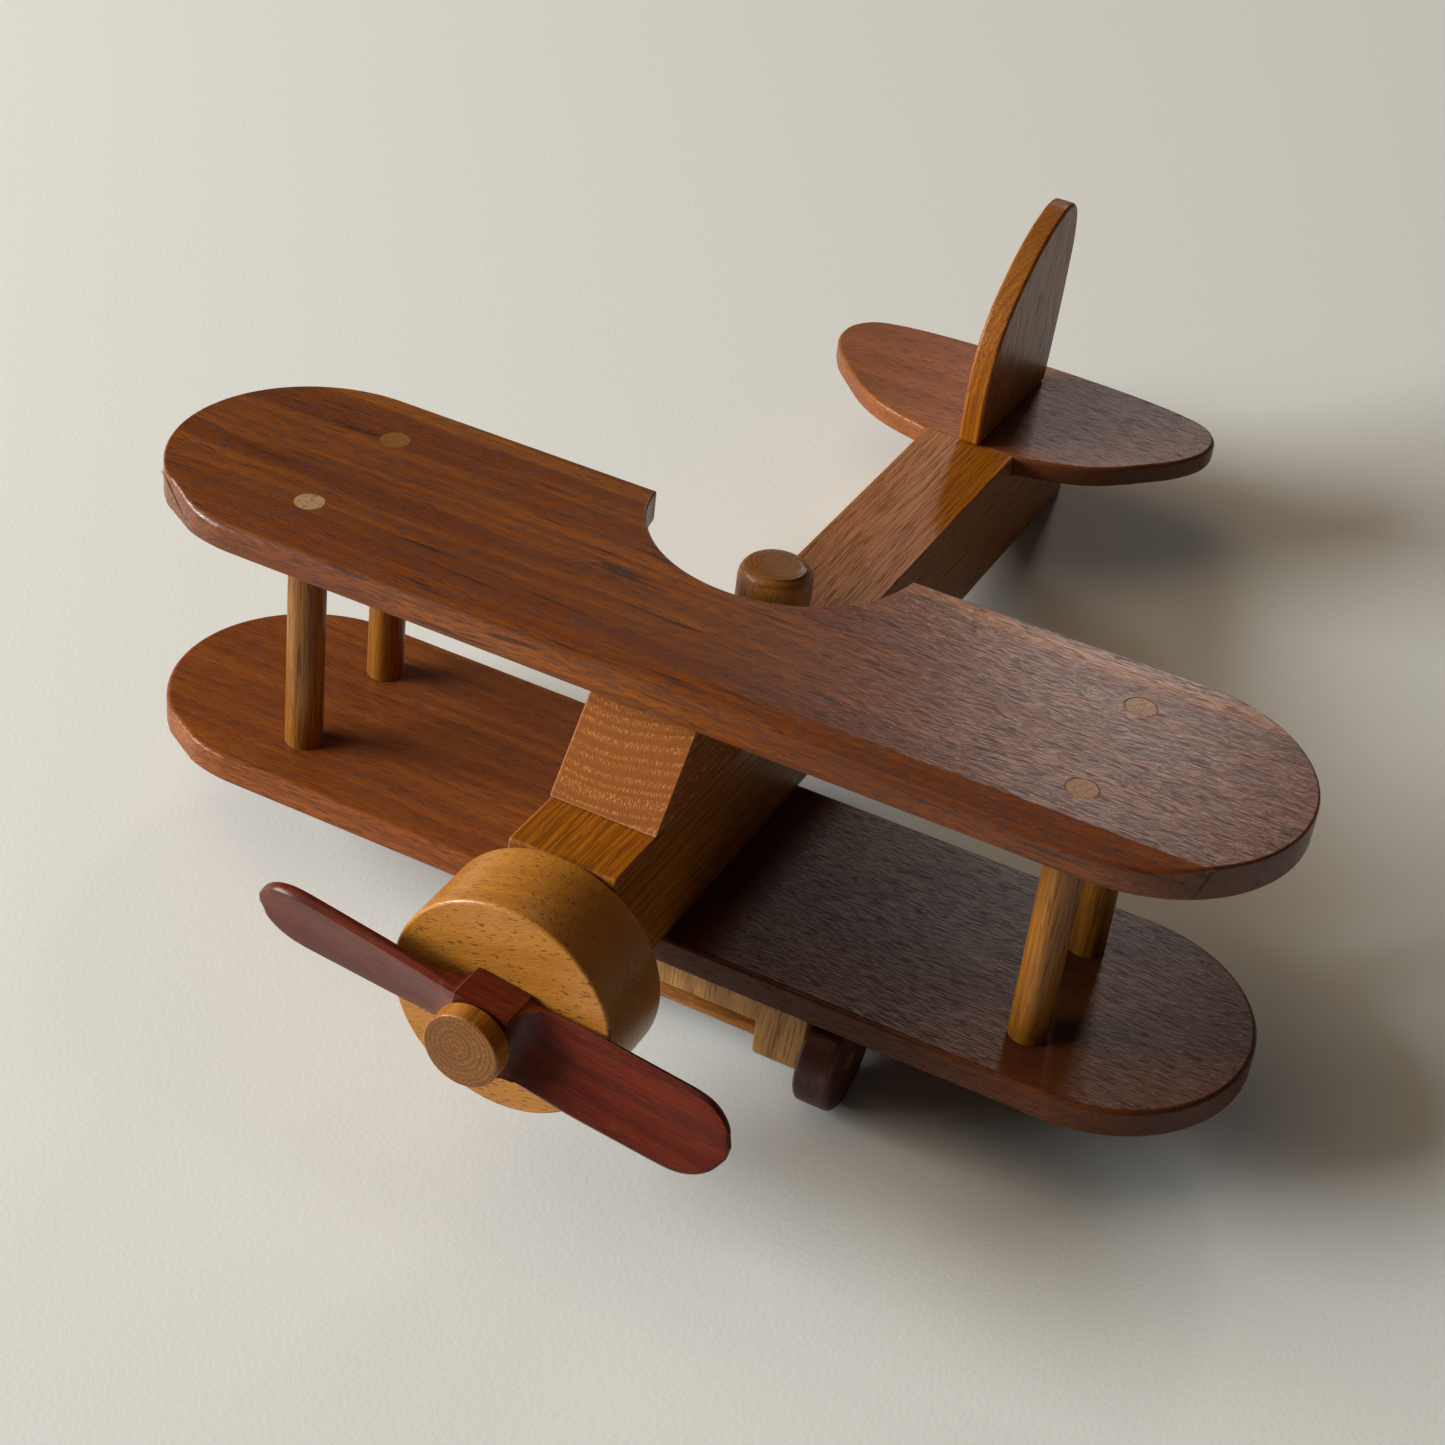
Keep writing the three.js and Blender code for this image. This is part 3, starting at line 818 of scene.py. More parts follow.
    def _surface(
        self,
        tree: bpy.types.NodeTree,
        colour: bpy.types.NodeSocket,
        fibres: bpy.types.NodeSocket,
        band: bpy.types.NodeSocket,
        pores: bpy.types.NodeSocket,
    ) -> None:
        """Builds the oiled surface: sunk pores, faintly raised rings, duller pores.

        Args:
            tree: the material's tree.
            colour: the wood's colour.
            fibres: bent place in the log, in millimetres.
            band: late wood's share.
            pores: the pores' share.
        """
        sanding = self._specks(tree, fibres, (2.2, 0.45, 0.45), (0.25, 0.75))
        raised = add_node(tree, "ShaderNodeMath", {0: band, 1: 0.15}, operation="MULTIPLY")
        grained = add_node(
            tree, "ShaderNodeMath", {0: sanding, 1: 0.55, 2: raised.outputs[0]}, operation="MULTIPLY_ADD"
        )
        height = add_node(
            tree, "ShaderNodeMath", {0: grained.outputs[0], 1: pores}, operation="SUBTRACT"
        )
        bump = add_node(
            tree,
            "ShaderNodeBump",
            {"Height": height.outputs[0], "Strength": 1.0, "Distance": self.relief * MM},
        )
        dull = add_node(
            tree, "ShaderNodeMath", {0: pores, 1: 0.25, 2: self.roughness}, operation="MULTIPLY_ADD"
        )
        shader = add_node(
            tree,
            "ShaderNodeBsdfPrincipled",
            {
                "Base Color": colour,
                "Roughness": dull.outputs[0],
                "Normal": bump.outputs[0],
                "Specular IOR Level": self.specular,
                "Coat Weight": self.coat,
                "Coat Roughness": self.coat_roughness,
            },
        )
        add_node(tree, "ShaderNodeOutputMaterial", {"Surface": shader.outputs[0]})


# Sapele boards, planed and oiled: orange red-brown with close dark pores, a planed-through orange band and a dark
# grain line along the front edge, and a few dark mineral marks. The right half is darkened with painted shade,
# where less light reaches it.
WING_SAPELE = Timber(
    label="oiled_sapele",
    early="94500a",
    late="5c2a06",
    cast="602606",
    pore="281004",
    ring=4.6,
    ring_show=0.5,
    pith=(-260.0, -80.0),
    fine_show=0.45,
    pore_show=0.62,
    mineral="241208",
    mineral_show=0.7,
    streaks=(Streak("a2601c", -36.0, 9.0, 0.6), Streak("3c1a08", -29.6, 2.6, 0.6)),
    end="5a2c1c",
    end_show=0.4,
    worn="9c6440",
    # painted shade: darkens the right half of the upper wing
    painted_shade="48180c",
    painted_shade_span=(10.0, 120.0),
    painted_shade_show=0.62,
    roughness=0.28,
    relief=0.08,
    pore_width=0.3,
    pore_from=0.54,
    specular=0.33,
    cast_show=0.6,
    pore_length=5.0,
)
# The lower wing is the same sapele, redder and without the front band. Its right half is darkened with painted
# shadow, the shadow that the upper wing and the body cast.
LOWER_SAPELE = Timber(
    label="oiled_sapele_lower",
    early="94521c",
    late="602c0e",
    cast="743816",
    pore="2c1208",
    ring=5.2,
    ring_show=0.4,
    pith=(-220.0, -120.0),
    fine_show=0.35,
    pore_show=0.5,
    end="6c4030",
    end_show=0.4,
    worn="9c6440",
    # painted shadow: darkens the lower wing's right half
    painted_shade="2c140e",
    painted_shade_span=(380.0, 440.0),
    painted_shade_show=0.75,
    roughness=0.33,
    relief=0.08,
    pore_width=0.3,
    pore_from=0.55,
    specular=0.16,
    pore_length=5.0,
)
# The same sapele on the tail, a shade browner and plainer. Its right half is darkened with painted shade.
TAIL_SAPELE = Timber(
    label="oiled_sapele_tail",
    early="945428",
    late="6c3814",
    cast="7c4418",
    pore="40200f",
    ring=5.0,
    ring_show=0.35,
    pith=(160.0, -90.0),
    pore_show=0.4,
    worn="b07848",
    worn_show=0.4,
    # painted shade: darkens the stabiliser's right half
    painted_shade="4a2418",
    painted_shade_span=(0.0, 40.0),
    painted_shade_show=0.75,
    specular=0.2,
    pore_length=5.0,
    pore_width=0.35,
)
# Honey-coloured oak bar: straight fine streaks along its length.
BODY_OAK = Timber(
    label="oiled_oak",
    early="ac6612",
    late="663404",
    cast="90500e",
    pore="4a2404",
    ring=1.9,
    ring_show=0.55,
    pith=(130.0, -50.0),
    sway=2.5,
    fine_show=0.5,
    pore_length=14.0,
    pore_width=0.4,
    pore_show=0.5,
    worn="c09060",
    worn_show=0.45,
    specular=0.22,
)
# The oak block's sawn end grain: rows of pale filled pores along its year rings.
BLOCK_OAK = Timber(
    label="end_grain_oak",
    early="8c4c0e",
    late="6c3606",
    cast="80460c",
    pore="bc8446",
    ring=2.1,
    ring_show=0.3,
    pith=(6.0, 152.0),
    sway=1.6,
    fine_show=0.15,
    pore_length=2.4,
    pore_width=0.3,
    pore_tall=2.6,
    pore_show=0.7,
    pore_from=0.53,
    pore_in_rings=0.9,
    end="8e4e20",
    end_show=0.0,
    worn="c49c74",
    worn_show=0.5,
    roughness=0.6,
    specular=0.15,
    coat=0.0,
)
# Turned oak dowels: straight dark streaks along honey brown; their cut tenons show pale.
DOWEL_OAK = Timber(
    label="turned_dowel",
    early="a46a20",
    late="60380a",
    cast="7a480e",
    pore="40240a",
    ring=2.2,
    ring_show=0.6,
    pith=(9.0, 14.0),
    sway=1.2,
    fine_show=0.45,
    pore_length=12.0,
    pore_width=0.45,
    pore_show=0.55,
    mineral="3a1e08",
    mineral_show=0.5,
    end="8a6236",
    end_show=0.4,
    specular=0.3,
)
# The one strut whose upper tenon was sanded after oiling, so its end shows pale.
DOWEL_BARE_END = replace(DOWEL_OAK, label="turned_dowel_sanded", end="c09c70", end_show=0.9)
# Beech disc sawn from a flat board: amber with the short dark flecks of its rays.
COWL_BEECH = Timber(
    label="oiled_beech",
    early="b87a28",
    late="94590f",
    cast="9c6014",
    pore="84500f",
    ring=6.0,
    ring_show=0.35,
    pith=(-30.0, 140.0),
    sway=3.0,
    fine_show=0.25,
    pore_length=2.0,
    pore_width=0.35,
    pore_show=0.35,
    pore_from=0.52,
    fleck="5c300c",
    fleck_show=0.85,
    fleck_length=2.4,
    fleck_width=0.65,
    end="a0621c",
    end_show=0.4,
    worn="d8ac74",
    worn_show=0.45,
    roughness=0.38,
    coat=0.3,
    relief=0.03,
)
# Carved dark rosewood, polished by hand: close fine grain and a soft deep shine.
PROPELLER_ROSEWOOD = Timber(
    label="polished_rosewood",
    early="682008",
    late="38100a",
    cast="501808",
    pore="702c16",
    ring=2.6,
    ring_show=0.5,
    pith=(30.0, 60.0),
    sway=2.0,
    fine_show=0.4,
    pore_length=5.0,
    pore_width=0.3,
    pore_show=0.25,
    pore_from=0.58,
    end="4a2010",
    end_show=0.5,
    worn="2c0e08",
    worn_show=0.5,
    roughness=0.36,
    coat=0.12,
    relief=0.03,
    specular=0.22,
)
# Pegs of birch, cut across: tight rings show on their heads.
PEG_BIRCH = Timber(
    label="turned_peg",
    early="b27226",
    late="58300c",
    cast="90540c",
    pore="54300f",
    ring=1.3,
    ring_show=0.6,
    pith=(1.2, 0.8),
    sway=0.8,
    pore_length=5.0,
    pore_width=0.45,
    pore_show=0.35,
    fleck="a8805c",
    fleck_show=0.35,
    fleck_length=2.0,
    fleck_width=0.5,
    end="5c381c",
    end_show=0.6,
    worn="b87c34",
    worn_show=0.4,
    roughness=0.38,
    specular=0.25,
)
# Unstained oak of the undercarriage: pale straw with straight brown streaks.
GEAR_OAK = Timber(
    label="pale_oak",
    early="bc8c4c",
    late="8c5c28",
    cast="a87434",
    pore="5c3c1a",
    ring=3.2,
    ring_show=0.6,
    pith=(20.0, 60.0),
    pore_length=10.0,
    pore_width=0.5,
    pore_show=0.5,
    roughness=0.5,
    coat=0.05,
)
# Dark walnut wheels, cut from a board.
WHEEL_WALNUT = Timber(
    label="oiled_walnut",
    early="5c2c1c",
    late="30140c",
    cast="401c14",
    pore="1a0c08",
    ring=4.0,
    pith=(30.0, 50.0),
    pore_show=0.5,
    worn="74483a",
    roughness=0.42,
)


# ------------------------------------------------------------------------------ wings


@dataclass
class Wings:
    """Two boards with half-round tips, held apart by four dowels let through them."""

    stance: Stance
    tip_facets: int = 96  # sides of the full circle that the two tips make
    edge: float = 1.3 * MM
    ridge: float = 3.2 * MM  # the rounder front ridge of the planed edge
    ridge_reach: float = 136.0 * MM  # how far out from the middle the wide rounding runs
    bevel_width: float = 8.3 * MM  # the planed leading edge, along Y
    bevel_drop: float = 1.9 * MM
    scoop_radius: float = 36.6 * MM
    scoop_setback: float = 4.4 * MM  # how far the scoop's centre lies behind the trailing edge
    hole_room: float = 0.06 * MM
    facet_turn: float = 31.0  # degrees that the flat on each right tip faces away from the front
    facet_depth: float = 0.55 * MM

    def build(self) -> None:
        """Builds the two wings and their struts."""
        self._upper()
        self._lower()
        for place in ("front_left", "front_right", "rear_left", "rear_right"):
            self._strut(place)

    def _board(self, name: str, box: Box) -> bpy.types.Object:
        """Saws a board with half-round tips.

        Args:
            name: the board's name.
            box: the board's corners on the bench.

        Returns:
            The board, its edges still sharp.
        """
        low, high = box
        radius = (high.y - low.y) / 2
        reach = (high.x - low.x) / 2 - radius
        half_facet = math.pi / self.tip_facets
        lay_down_tools()
        bpy.ops.mesh.primitive_circle_add(
            vertices=self.tip_facets,
            radius=radius / math.cos(half_facet),
            fill_type="NGON",
            location=(0.0, (low.y + high.y) / 2, low.z),
            rotation=(0.0, 0.0, half_facet),
        )
        board = fresh(name)
        for side in (1, -1):
            pick(board, Pick.VERTS, lambda at, side=side: at.x * side > 0)
            bpy.ops.transform.translate(value=(side * reach, 0.0, 0.0))
            bpy.ops.object.mode_set(mode="OBJECT")
        pick(board, Pick.FACES, lambda middle, normal: True)
        bpy.ops.mesh.extrude_region_move(TRANSFORM_OT_translate={"value": (0.0, 0.0, high.z - low.z)})
        bpy.ops.mesh.select_all(action="SELECT")
        bpy.ops.mesh.normals_make_consistent(inside=False)
        bpy.ops.object.mode_set(mode="OBJECT")
        return board

    def _flatten_tip(self, board: bpy.types.Object, box: Box) -> None:
        """Leaves the saw's flat at the front of the right tip, where the round was never finished.

        Args:
            board: the board.
            box: the board's corners on the bench.
        """
        low, high = box
        radius = (high.y - low.y) / 2
        turn = math.radians(self.facet_turn)
        away = Vector((-math.sin(turn), -math.cos(turn), 0.0))
        centre = Vector((low.x + radius, (low.y + high.y) / 2, low.z))
        slice_off(board, centre + away * (radius - self.facet_depth), away)

    def _drill_struts(self, board: bpy.types.Object) -> None:
        """Drills the four strut holes through a board.

        Args:
            board: the board.
        """
        for place in ("front_left", "front_right", "rear_left", "rear_right"):
            low, high = self.stance.box(f"strut_{place}")
            middle = (low + high) / 2
            tenon = self._tenon_radius(low, high)
            drill = rod("drill", tenon + self.hole_room, middle, 2 * (high.z - low.z), Along.Z)
            carve(board, drill)

    def _tenon_radius(self, low: Vector, high: Vector) -> float:
        """The radius of a strut's tenon: four fifths of the strut's own."""
        return 0.8 * (high.x - low.x) / 2

    def _rounding(self, box: Box, front: float) -> Callable[[Vector, Vector], float]:
        """Says how round each edge of a board is.

        Args:
            box: the board's corners on the bench.
            front: the share that the front ridge gets.

        Returns:
            A rule from an edge's two ends to its share of the ridge's rounding.
        """
        low, high = box
        plain = self.edge / self.ridge
        arris = low.y + self.bevel_width

        def share(a: Vector, b: Vector) -> float:
            """An edge's share of the widest rounding."""
            upright = abs(a.z - b.z) > (high.z - low.z) / 2
            inner = abs(a.x) < self.scoop_radius and a.y > 0
            if upright:
                corner = inner and min(a.y, b.y) > high.y - HAIR
                return plain if corner else 0.0
            if max(a.z, b.z) < low.z + HAIR:
                return 0.6 * plain
            y = (a.y + b.y) / 2
            if front > plain and abs(a.y - arris) < HAIR and abs(b.y - arris) < HAIR:
                return 0.12
            near = min(1.0, max(0.0, (arris - y) / self.bevel_width))
            near *= min(1.0, max(0.0, (self.ridge_reach - abs(a.x + b.x) / 2) / self.bevel_width))
            return plain + (front - plain) * near

        return share

    def _upper(self) -> None:
        """Builds the upper wing: planed leading edge, scoop behind, tenon holes."""
        box = self.stance.box("upper_wing")
        low, high = box
        board = self._board("upper_wing_board", box)
        self._flatten_tip(board, box)
        fall = math.atan2(self.bevel_drop, self.bevel_width)
        arris = (0.0, low.y + self.bevel_width, high.z)
        slice_off(board, arris, (0.0, -math.sin(fall), math.cos(fall)))
        centre = (0.0, high.y + self.scoop_setback, (low.z + high.z) / 2)
        carve(board, rod("scoop", self.scoop_radius, centre, 3 * (high.z - low.z), Along.Z, 160))
        ease_by_place(board, self.ridge, self._rounding(box, 1.0))
        self._drill_struts(board)
        self.stance.stand(board, "upper_wing", "wing_sapele", "airframe")
        # The shift's first figure puts the start of the painted shade near the wing's middle.
        WING_SAPELE.dress(board, self.stance, Grain.ACROSS, (40.0, 0.0, 0.0))

    def _lower(self) -> None:
        """Builds the lower wing: a plain board with tenon holes."""
        box = self.stance.box("lower_wing")
        board = self._board("lower_wing_board", box)
        self._flatten_tip(board, box)
        ease_by_place(board, self.ridge, self._rounding(box, self.edge / self.ridge))
        self._drill_struts(board)
        self.stance.stand(board, "lower_wing", "wing_sapele", "airframe")
        # The shift's first figure sets the start of the painted shadow at the wing's middle.
        LOWER_SAPELE.dress(board, self.stance, Grain.ACROSS, (410.0, 37.0, 12.0))

    def _strut(self, place: str) -> None:
        """Turns one strut: a dowel with a thinner tenon at each end, sanded flush.

        Args:
            place: which corner it stands at.
        """
        low, high = self.stance.box(f"strut_{place}")
        radius = (high.x - low.x) / 2
        shoulders = self._shoulders()
        middle = Vector(((low.x + high.x) / 2, (low.y + high.y) / 2, sum(shoulders) / 2))
        strut = rod(f"strut_{place}_dowel", radius, middle, shoulders[1] - shoulders[0], Along.Z)
        for up, end in ((1, high.z), (-1, low.z)):
            shoulder = shoulders[1] if up > 0 else shoulders[0]
            pick(strut, Pick.FACES, lambda at, normal, up=up: normal.z * up > 0.9)
            bpy.ops.mesh.inset(thickness=radius - self._tenon_radius(low, high))
            bpy.ops.mesh.extrude_region_move(
                TRANSFORM_OT_translate={"value": (0.0, 0.0, end - shoulder - up * 0.03 * MM)}
            )
            bpy.ops.object.mode_set(mode="OBJECT")
        ease(strut, 0.25 * MM, 2, 50.0)
        self.stance.stand(strut, f"strut_{place}", "strut_dowel", "airframe")
        timber = DOWEL_BARE_END if place == "front_right" else DOWEL_OAK
        timber.dress(strut, self.stance, Grain.UPWARD, (30.0 * len(place), -middle.y / MM, middle.x / MM))

    def _shoulders(self) -> tuple[float, float]:
        """Heights of the lower wing's top and the upper wing's underside, where the shoulders sit."""
        return self.stance.box("lower_wing")[1].z, self.stance.box("upper_wing")[0].z


# ------------------------------------------------------------------------------ body


@dataclass
class Body:
    """The fuselage bar, the windscreen block on it, the engine cowl on its nose, and the pilot."""

    stance: Stance
    edge: float = 0.9 * MM
    slant: float = 19.6 * MM  # how far the block's front face leans back
    cowl_rim: float = 1.0 * MM
    crown: float = 5.0 * MM  # rounding of the pilot's head
    lopsided: float = 1.1 * MM  # how far off the middle the flat on the pilot's head was sanded
    pilot_tenon: float = 5.0 * MM
    pilot_tenon_depth: float = 12.0 * MM
    fit: float = 0.1 * MM
    shank: float = 3.2 * MM  # radius of the propeller peg's shank

    def build(self) -> None:
        """Builds the body's pieces from the bar outwards."""
        self._bar()
        self._windscreen()
        self._cowl()
        self._pilot()

    def _bar(self) -> None:
        """Builds the fuselage: a straight bar with the tail's seat, drilled for the two pegs."""
        low, high = self.stance.box("fuselage")
        bar = block("fuselage_bar", low, high)
        seat_low, seat_high = self.stance.box("stabiliser")
        seat = block(
            "seat",
            (low.x * 2, seat_low.y - self.fit, seat_low.z - self.fit),
            (high.x * 2, seat_high.y + self.edge, high.z * 2),
        )
        ease(bar, self.edge)
        carve(bar, seat)
        pilot_low, pilot_high = self.stance.box("pilot_peg")
        centre = (pilot_low + pilot_high) / 2
        foot = (centre.x, centre.y, high.z)
        carve(bar, rod("drill", self.pilot_tenon + self.fit, foot, 2 * self.pilot_tenon_depth + self.fit, Along.Z))
        peg_low, peg_high = self.stance.box("propeller_peg")
        axis = (peg_low + peg_high) / 2
        mouth = (axis.x, low.y, axis.z)
        carve(bar, rod("drill", self.shank + self.fit, mouth, 2 * (peg_high.y - low.y + self.fit), Along.Y))
        self.stance.stand(bar, "fuselage", "body_oak", "airframe")
        BODY_OAK.dress(bar, self.stance, Grain.BACKWARD)

    def _windscreen(self) -> None:
        """Builds the block that carries the upper wing, its front face leaning back."""
        low, high = self.stance.box("windscreen_block")
        piece = block("windscreen_block_oak", low, high)
        pick(piece, Pick.VERTS, lambda at: at.y < low.y + HAIR and at.z > high.z - HAIR)
        bpy.ops.transform.translate(value=(0.0, self.slant, 0.0))
        bpy.ops.object.mode_set(mode="OBJECT")
        ease(piece, 0.5 * MM)
        self.stance.stand(piece, "windscreen_block", "block_endgrain", "airframe")
        BLOCK_OAK.dress(piece, self.stance, Grain.BACKWARD)

    def _cowl(self) -> None:
        """Turns the engine cowl: a thick disc with an eased front rim."""
        low, high = self.stance.box("engine_cowl")
        radius = (high.x - low.x) / 2
        cowl = rod("engine_cowl_disc", radius, (low + high) / 2, high.y - low.y, Along.Y, 128)
        ease(cowl, self.cowl_rim, 4)
        middle = (low + high) / 2
        carve(cowl, rod("drill", self.shank + self.fit, middle, 2 * (high.y - low.y), Along.Y))
        self.stance.stand(cowl, "engine_cowl", "cowl_beech", "airframe")
        COWL_BEECH.dress(cowl, self.stance, Grain.ACROSS, (70.0, 20.0, 0.0), 15.0)

    def _pilot(self) -> None:
        """Turns the pilot: a short peg with a rounded head and a tenon under it."""
        low, high = self.stance.box("pilot_peg")
        radius = (high.x - low.x) / 2
        seat = self.stance.box("fuselage")[1].z
        middle = Vector(((low.x + high.x) / 2, (low.y + high.y) / 2, (seat + high.z) / 2))
        peg = rod("pilot_peg_turned", radius, middle, high.z - seat, Along.Z)
        pick(peg, Pick.EDGES, lambda a, b: min(a.z, b.z) > high.z - HAIR)
        bpy.ops.mesh.bevel(offset=self.crown, segments=8, profile=0.55)
        bpy.ops.object.mode_set(mode="OBJECT")
        pick(peg, Pick.VERTS, lambda at: at.z > high.z - 0.06 * self.crown)
        bpy.ops.transform.translate(value=(self.lopsided, -0.4 * self.lopsided, 0.0))
        bpy.ops.object.mode_set(mode="OBJECT")
        pick(peg, Pick.FACES, lambda at, normal: normal.z < -0.9)
        bpy.ops.mesh.inset(thickness=radius - self.pilot_tenon)
        bpy.ops.mesh.extrude_region_move(
            TRANSFORM_OT_translate={"value": (0.0, 0.0, -self.pilot_tenon_depth)}
        )
        bpy.ops.object.mode_set(mode="OBJECT")
        self.stance.stand(peg, "pilot_peg", "peg_dowel", "airframe", 45.0)
        PEG_BIRCH.dress(peg, self.stance, Grain.UPWARD, (0.0, -middle.y / MM, middle.x / MM))


# ------------------------------------------------------------------------------ propeller


@dataclass
class Propeller:
    """A propeller carved from one blank, spinning on a peg with a wide flat head."""

    stance: Stance
    hub_width: float = 14.2 * MM
    hub_height: float = 19.0 * MM
    root_chord: float = 18.0 * MM
    chord: float = 21.2 * MM
    thickness: float = 3.4 * MM
    reach: float = 63.2 * MM
    tip: float = 12.4 * MM  # length of the rounded tip
    scoop: float = 9.0 * MM  # length of the hollow shoulder between the hub and a blade
    hollow: float = 0.7 * MM  # how deep a blade's front face is dished
    setback: float = 1.1 * MM
    root_pitch: float = 24.0  # degrees
    tip_pitch: float = 16.0  # degrees
    park: float = 7.5  # degrees that it is turned at rest
    stations: int = 22
    bore: float = 3.7 * MM
    head: float = 0.6 * MM  # easing of the peg's head
    shank: float = 3.2 * MM

    def build(self) -> None:
        """Builds the propeller and its peg."""
        self._blades()
        self._peg()

    def _corners(self, reach: float, depth: float) -> list[Vector]:
        """The six corners of the blank's section at one reach, from the top front round to the top back.

        Args:
            reach: distance from the propeller's axis.
            depth: depth of the blank.

        Returns:
            The corners, as places about the axis.
        """
        start = self.hub_width / 2
        out = (reach - start) / (self.reach - start)
        pitch = math.radians(self.root_pitch + (self.tip_pitch - self.root_pitch) * out)
        spread = min(1.0, 3 * out)
        chord = self.root_chord + (self.chord - self.root_chord) * math.sqrt(max(0.0, spread))
        into_tip = min(1.0, max(0.0, (reach - self.reach + self.tip) / self.tip))
        narrow = math.sqrt(max(0.03, 1 - into_tip**2))
        half = chord * narrow / 2
        thick = self.thickness * (0.35 + 0.65 * narrow) / 2
        up = Vector((0.0, math.sin(pitch), math.cos(pitch)))
        front = Vector((0.0, -math.cos(pitch), math.sin(pitch)))
        back_set = Vector((0.0, self.setback, 0.0))
        dish = self.hollow * narrow
        slab = [
            up * half + front * thick + back_set,
            front * (thick - dish) + back_set,
            -up * half + front * thick + back_set,
            -up * half - front * thick + back_set,
            -front * (thick + 0.4 * dish) + back_set,
            up * half - front * thick + back_set,
        ]
        limit = depth / 2
        slab = [Vector((0.0, max(-limit, min(limit, at.y)), at.z)) for at in slab]
        tall = self.hub_height / 2
        solid = [
            Vector((0.0, y, z))
            for y, z in (
                (-limit, tall),
                (-limit, 0.0),
                (-limit, -tall),
                (limit, -tall),
                (limit, 0.0),
                (limit, tall),
            )
        ]
        along = min(1.0, max(0.0, (reach - start) / self.scoop))
        whole = 1 - math.sqrt(max(0.0, 1 - (1 - along) ** 2))
        return [Vector((reach, 0.0, 0.0)) + s.lerp(b, whole) for s, b in zip(slab, solid)]

    def _reaches(self) -> list[float]:
        """Distances of the carved sections from the axis, closer together at the root and the tip."""
        start = self.hub_width / 2
        shares = [(1 - math.cos(math.pi * k / self.stations)) / 2 for k in range(1, self.stations + 1)]
        return [start + (self.reach - start) * share for share in shares]

    def _grow(self, piece: bpy.types.Object, side: int, depth: float) -> None:
        """Draws one blade out of the hub's end, section by section.

        Args:
            piece: the propeller, drawn about the origin.
            side: 1 for the blade on +X, -1 for the other, which is the same turned half round.
            depth: depth of the blank.
        """
        last = [Vector((side * at.x, at.y, side * at.z)) for at in self._corners(self.hub_width / 2, depth)]
        for reach in self._reaches():
            edge_x = last[0].x
            pick(
                piece,
                Pick.FACES,
                lambda at, normal, edge_x=edge_x: abs(at.x - edge_x) < 0.01 * MM and normal.x * side > 0.5,
            )
            bpy.ops.mesh.extrude_region_move(
                TRANSFORM_OT_translate={"value": (side * reach - edge_x, 0.0, 0.0)}
            )
            bpy.ops.object.mode_set(mode="OBJECT")
            section = [Vector((side * at.x, at.y, side * at.z)) for at in self._corners(reach, depth)]
            for old, new in zip(last, section):
                was = Vector((side * reach, old.y, old.z))
                pick(piece, Pick.VERTS, lambda at, was=was: (at - was).length < 0.01 * MM)
                bpy.ops.transform.translate(value=new - was)
                bpy.ops.object.mode_set(mode="OBJECT")
            last = section

    def _blades(self) -> None:
        """Carves the propeller and drills it."""
        low, high = self.stance.box("propeller")
        depth = high.y - low.y
        half = Vector((self.hub_width / 2, depth / 2, self.hub_height / 2))
        piece = block("propeller_carved", -half, half)
        score(piece, (0.0, 0.0, 0.0), (0.0, 0.0, 1.0))
        for side in (1, -1):
            self._grow(piece, side, depth)
        mesh = piece.data
        creases = mesh.attributes.new("crease_edge", "FLOAT", "EDGE")
        creases.data.foreach_set("value", [self._crease(mesh, edge) for edge in mesh.edges])
        apply_modifier(piece, "SUBSURF", levels=2, render_levels=2)
        carve(piece, rod("drill", self.bore, (0.0, 0.0, 0.0), 3 * depth, Along.Y, 48))
        centre = self.stance.joint("propeller_spin")
        take_up(piece)
        piece.matrix_world = Matrix.Translation(centre) @ Matrix.Rotation(math.radians(self.park), 4, "Y")
        bpy.ops.object.transform_apply(location=True, rotation=True, scale=True)
        self.stance.stand(piece, "propeller", "propeller_rosewood", "propeller", 40.0)
        PROPELLER_ROSEWOOD.dress(piece, self.stance, Grain.ACROSS, (0.0, 0.0, 0.0), -self.park)

    def _crease(self, mesh: bpy.types.Mesh, edge: bpy.types.MeshEdge) -> float:
        """How sharp an edge stays: the hub's own are crisp, a blade's are softly rounded."""
        a, b = (mesh.vertices[k].co for k in edge.vertices)
        inside = self.hub_width / 2 + HAIR
        if abs(a.x) < inside and abs(b.x) < inside:
            return 1.0
        along = abs(a.x - b.x) > HAIR
        rim = abs(a.z) > 0.25 * self.root_chord
        root = min(abs(a.x), abs(b.x)) < self.hub_width / 2 + self.scoop * 0.4
        return 0.85 if along and rim and root else 0.4 if along and rim else 0.0

    def _peg(self) -> None:
        """Turns the peg: a wide flat head in front of a long shank."""
        low, high = self.stance.box("propeller_peg")
        radius = (high.x - low.x) / 2 - HAIR
        hub_front = self.stance.box("propeller")[0].y
        back = hub_front - 0.5 * MM
        middle = Vector(((low.x + high.x) / 2, (low.y + back) / 2, (low.z + high.z) / 2))
        peg = rod("propeller_peg_turned", radius, middle, back - low.y, Along.Y, 96)
        ease(peg, self.head, 3)
        pick(peg, Pick.FACES, lambda at, normal: normal.y > 0.9)
        bpy.ops.mesh.inset(thickness=radius - self.head - self.shank)
        bpy.ops.mesh.extrude_region_move(TRANSFORM_OT_translate={"value": (0.0, high.y - back, 0.0)})
        bpy.ops.object.mode_set(mode="OBJECT")
        self.stance.stand(peg, "propeller_peg", "peg_dowel", "airframe")
        shift = (0.0, middle.x / MM, -middle.z / MM)
        PEG_BIRCH.dress(peg, self.stance, Grain.BACKWARD, shift)


# ------------------------------------------------------------------------------ tail


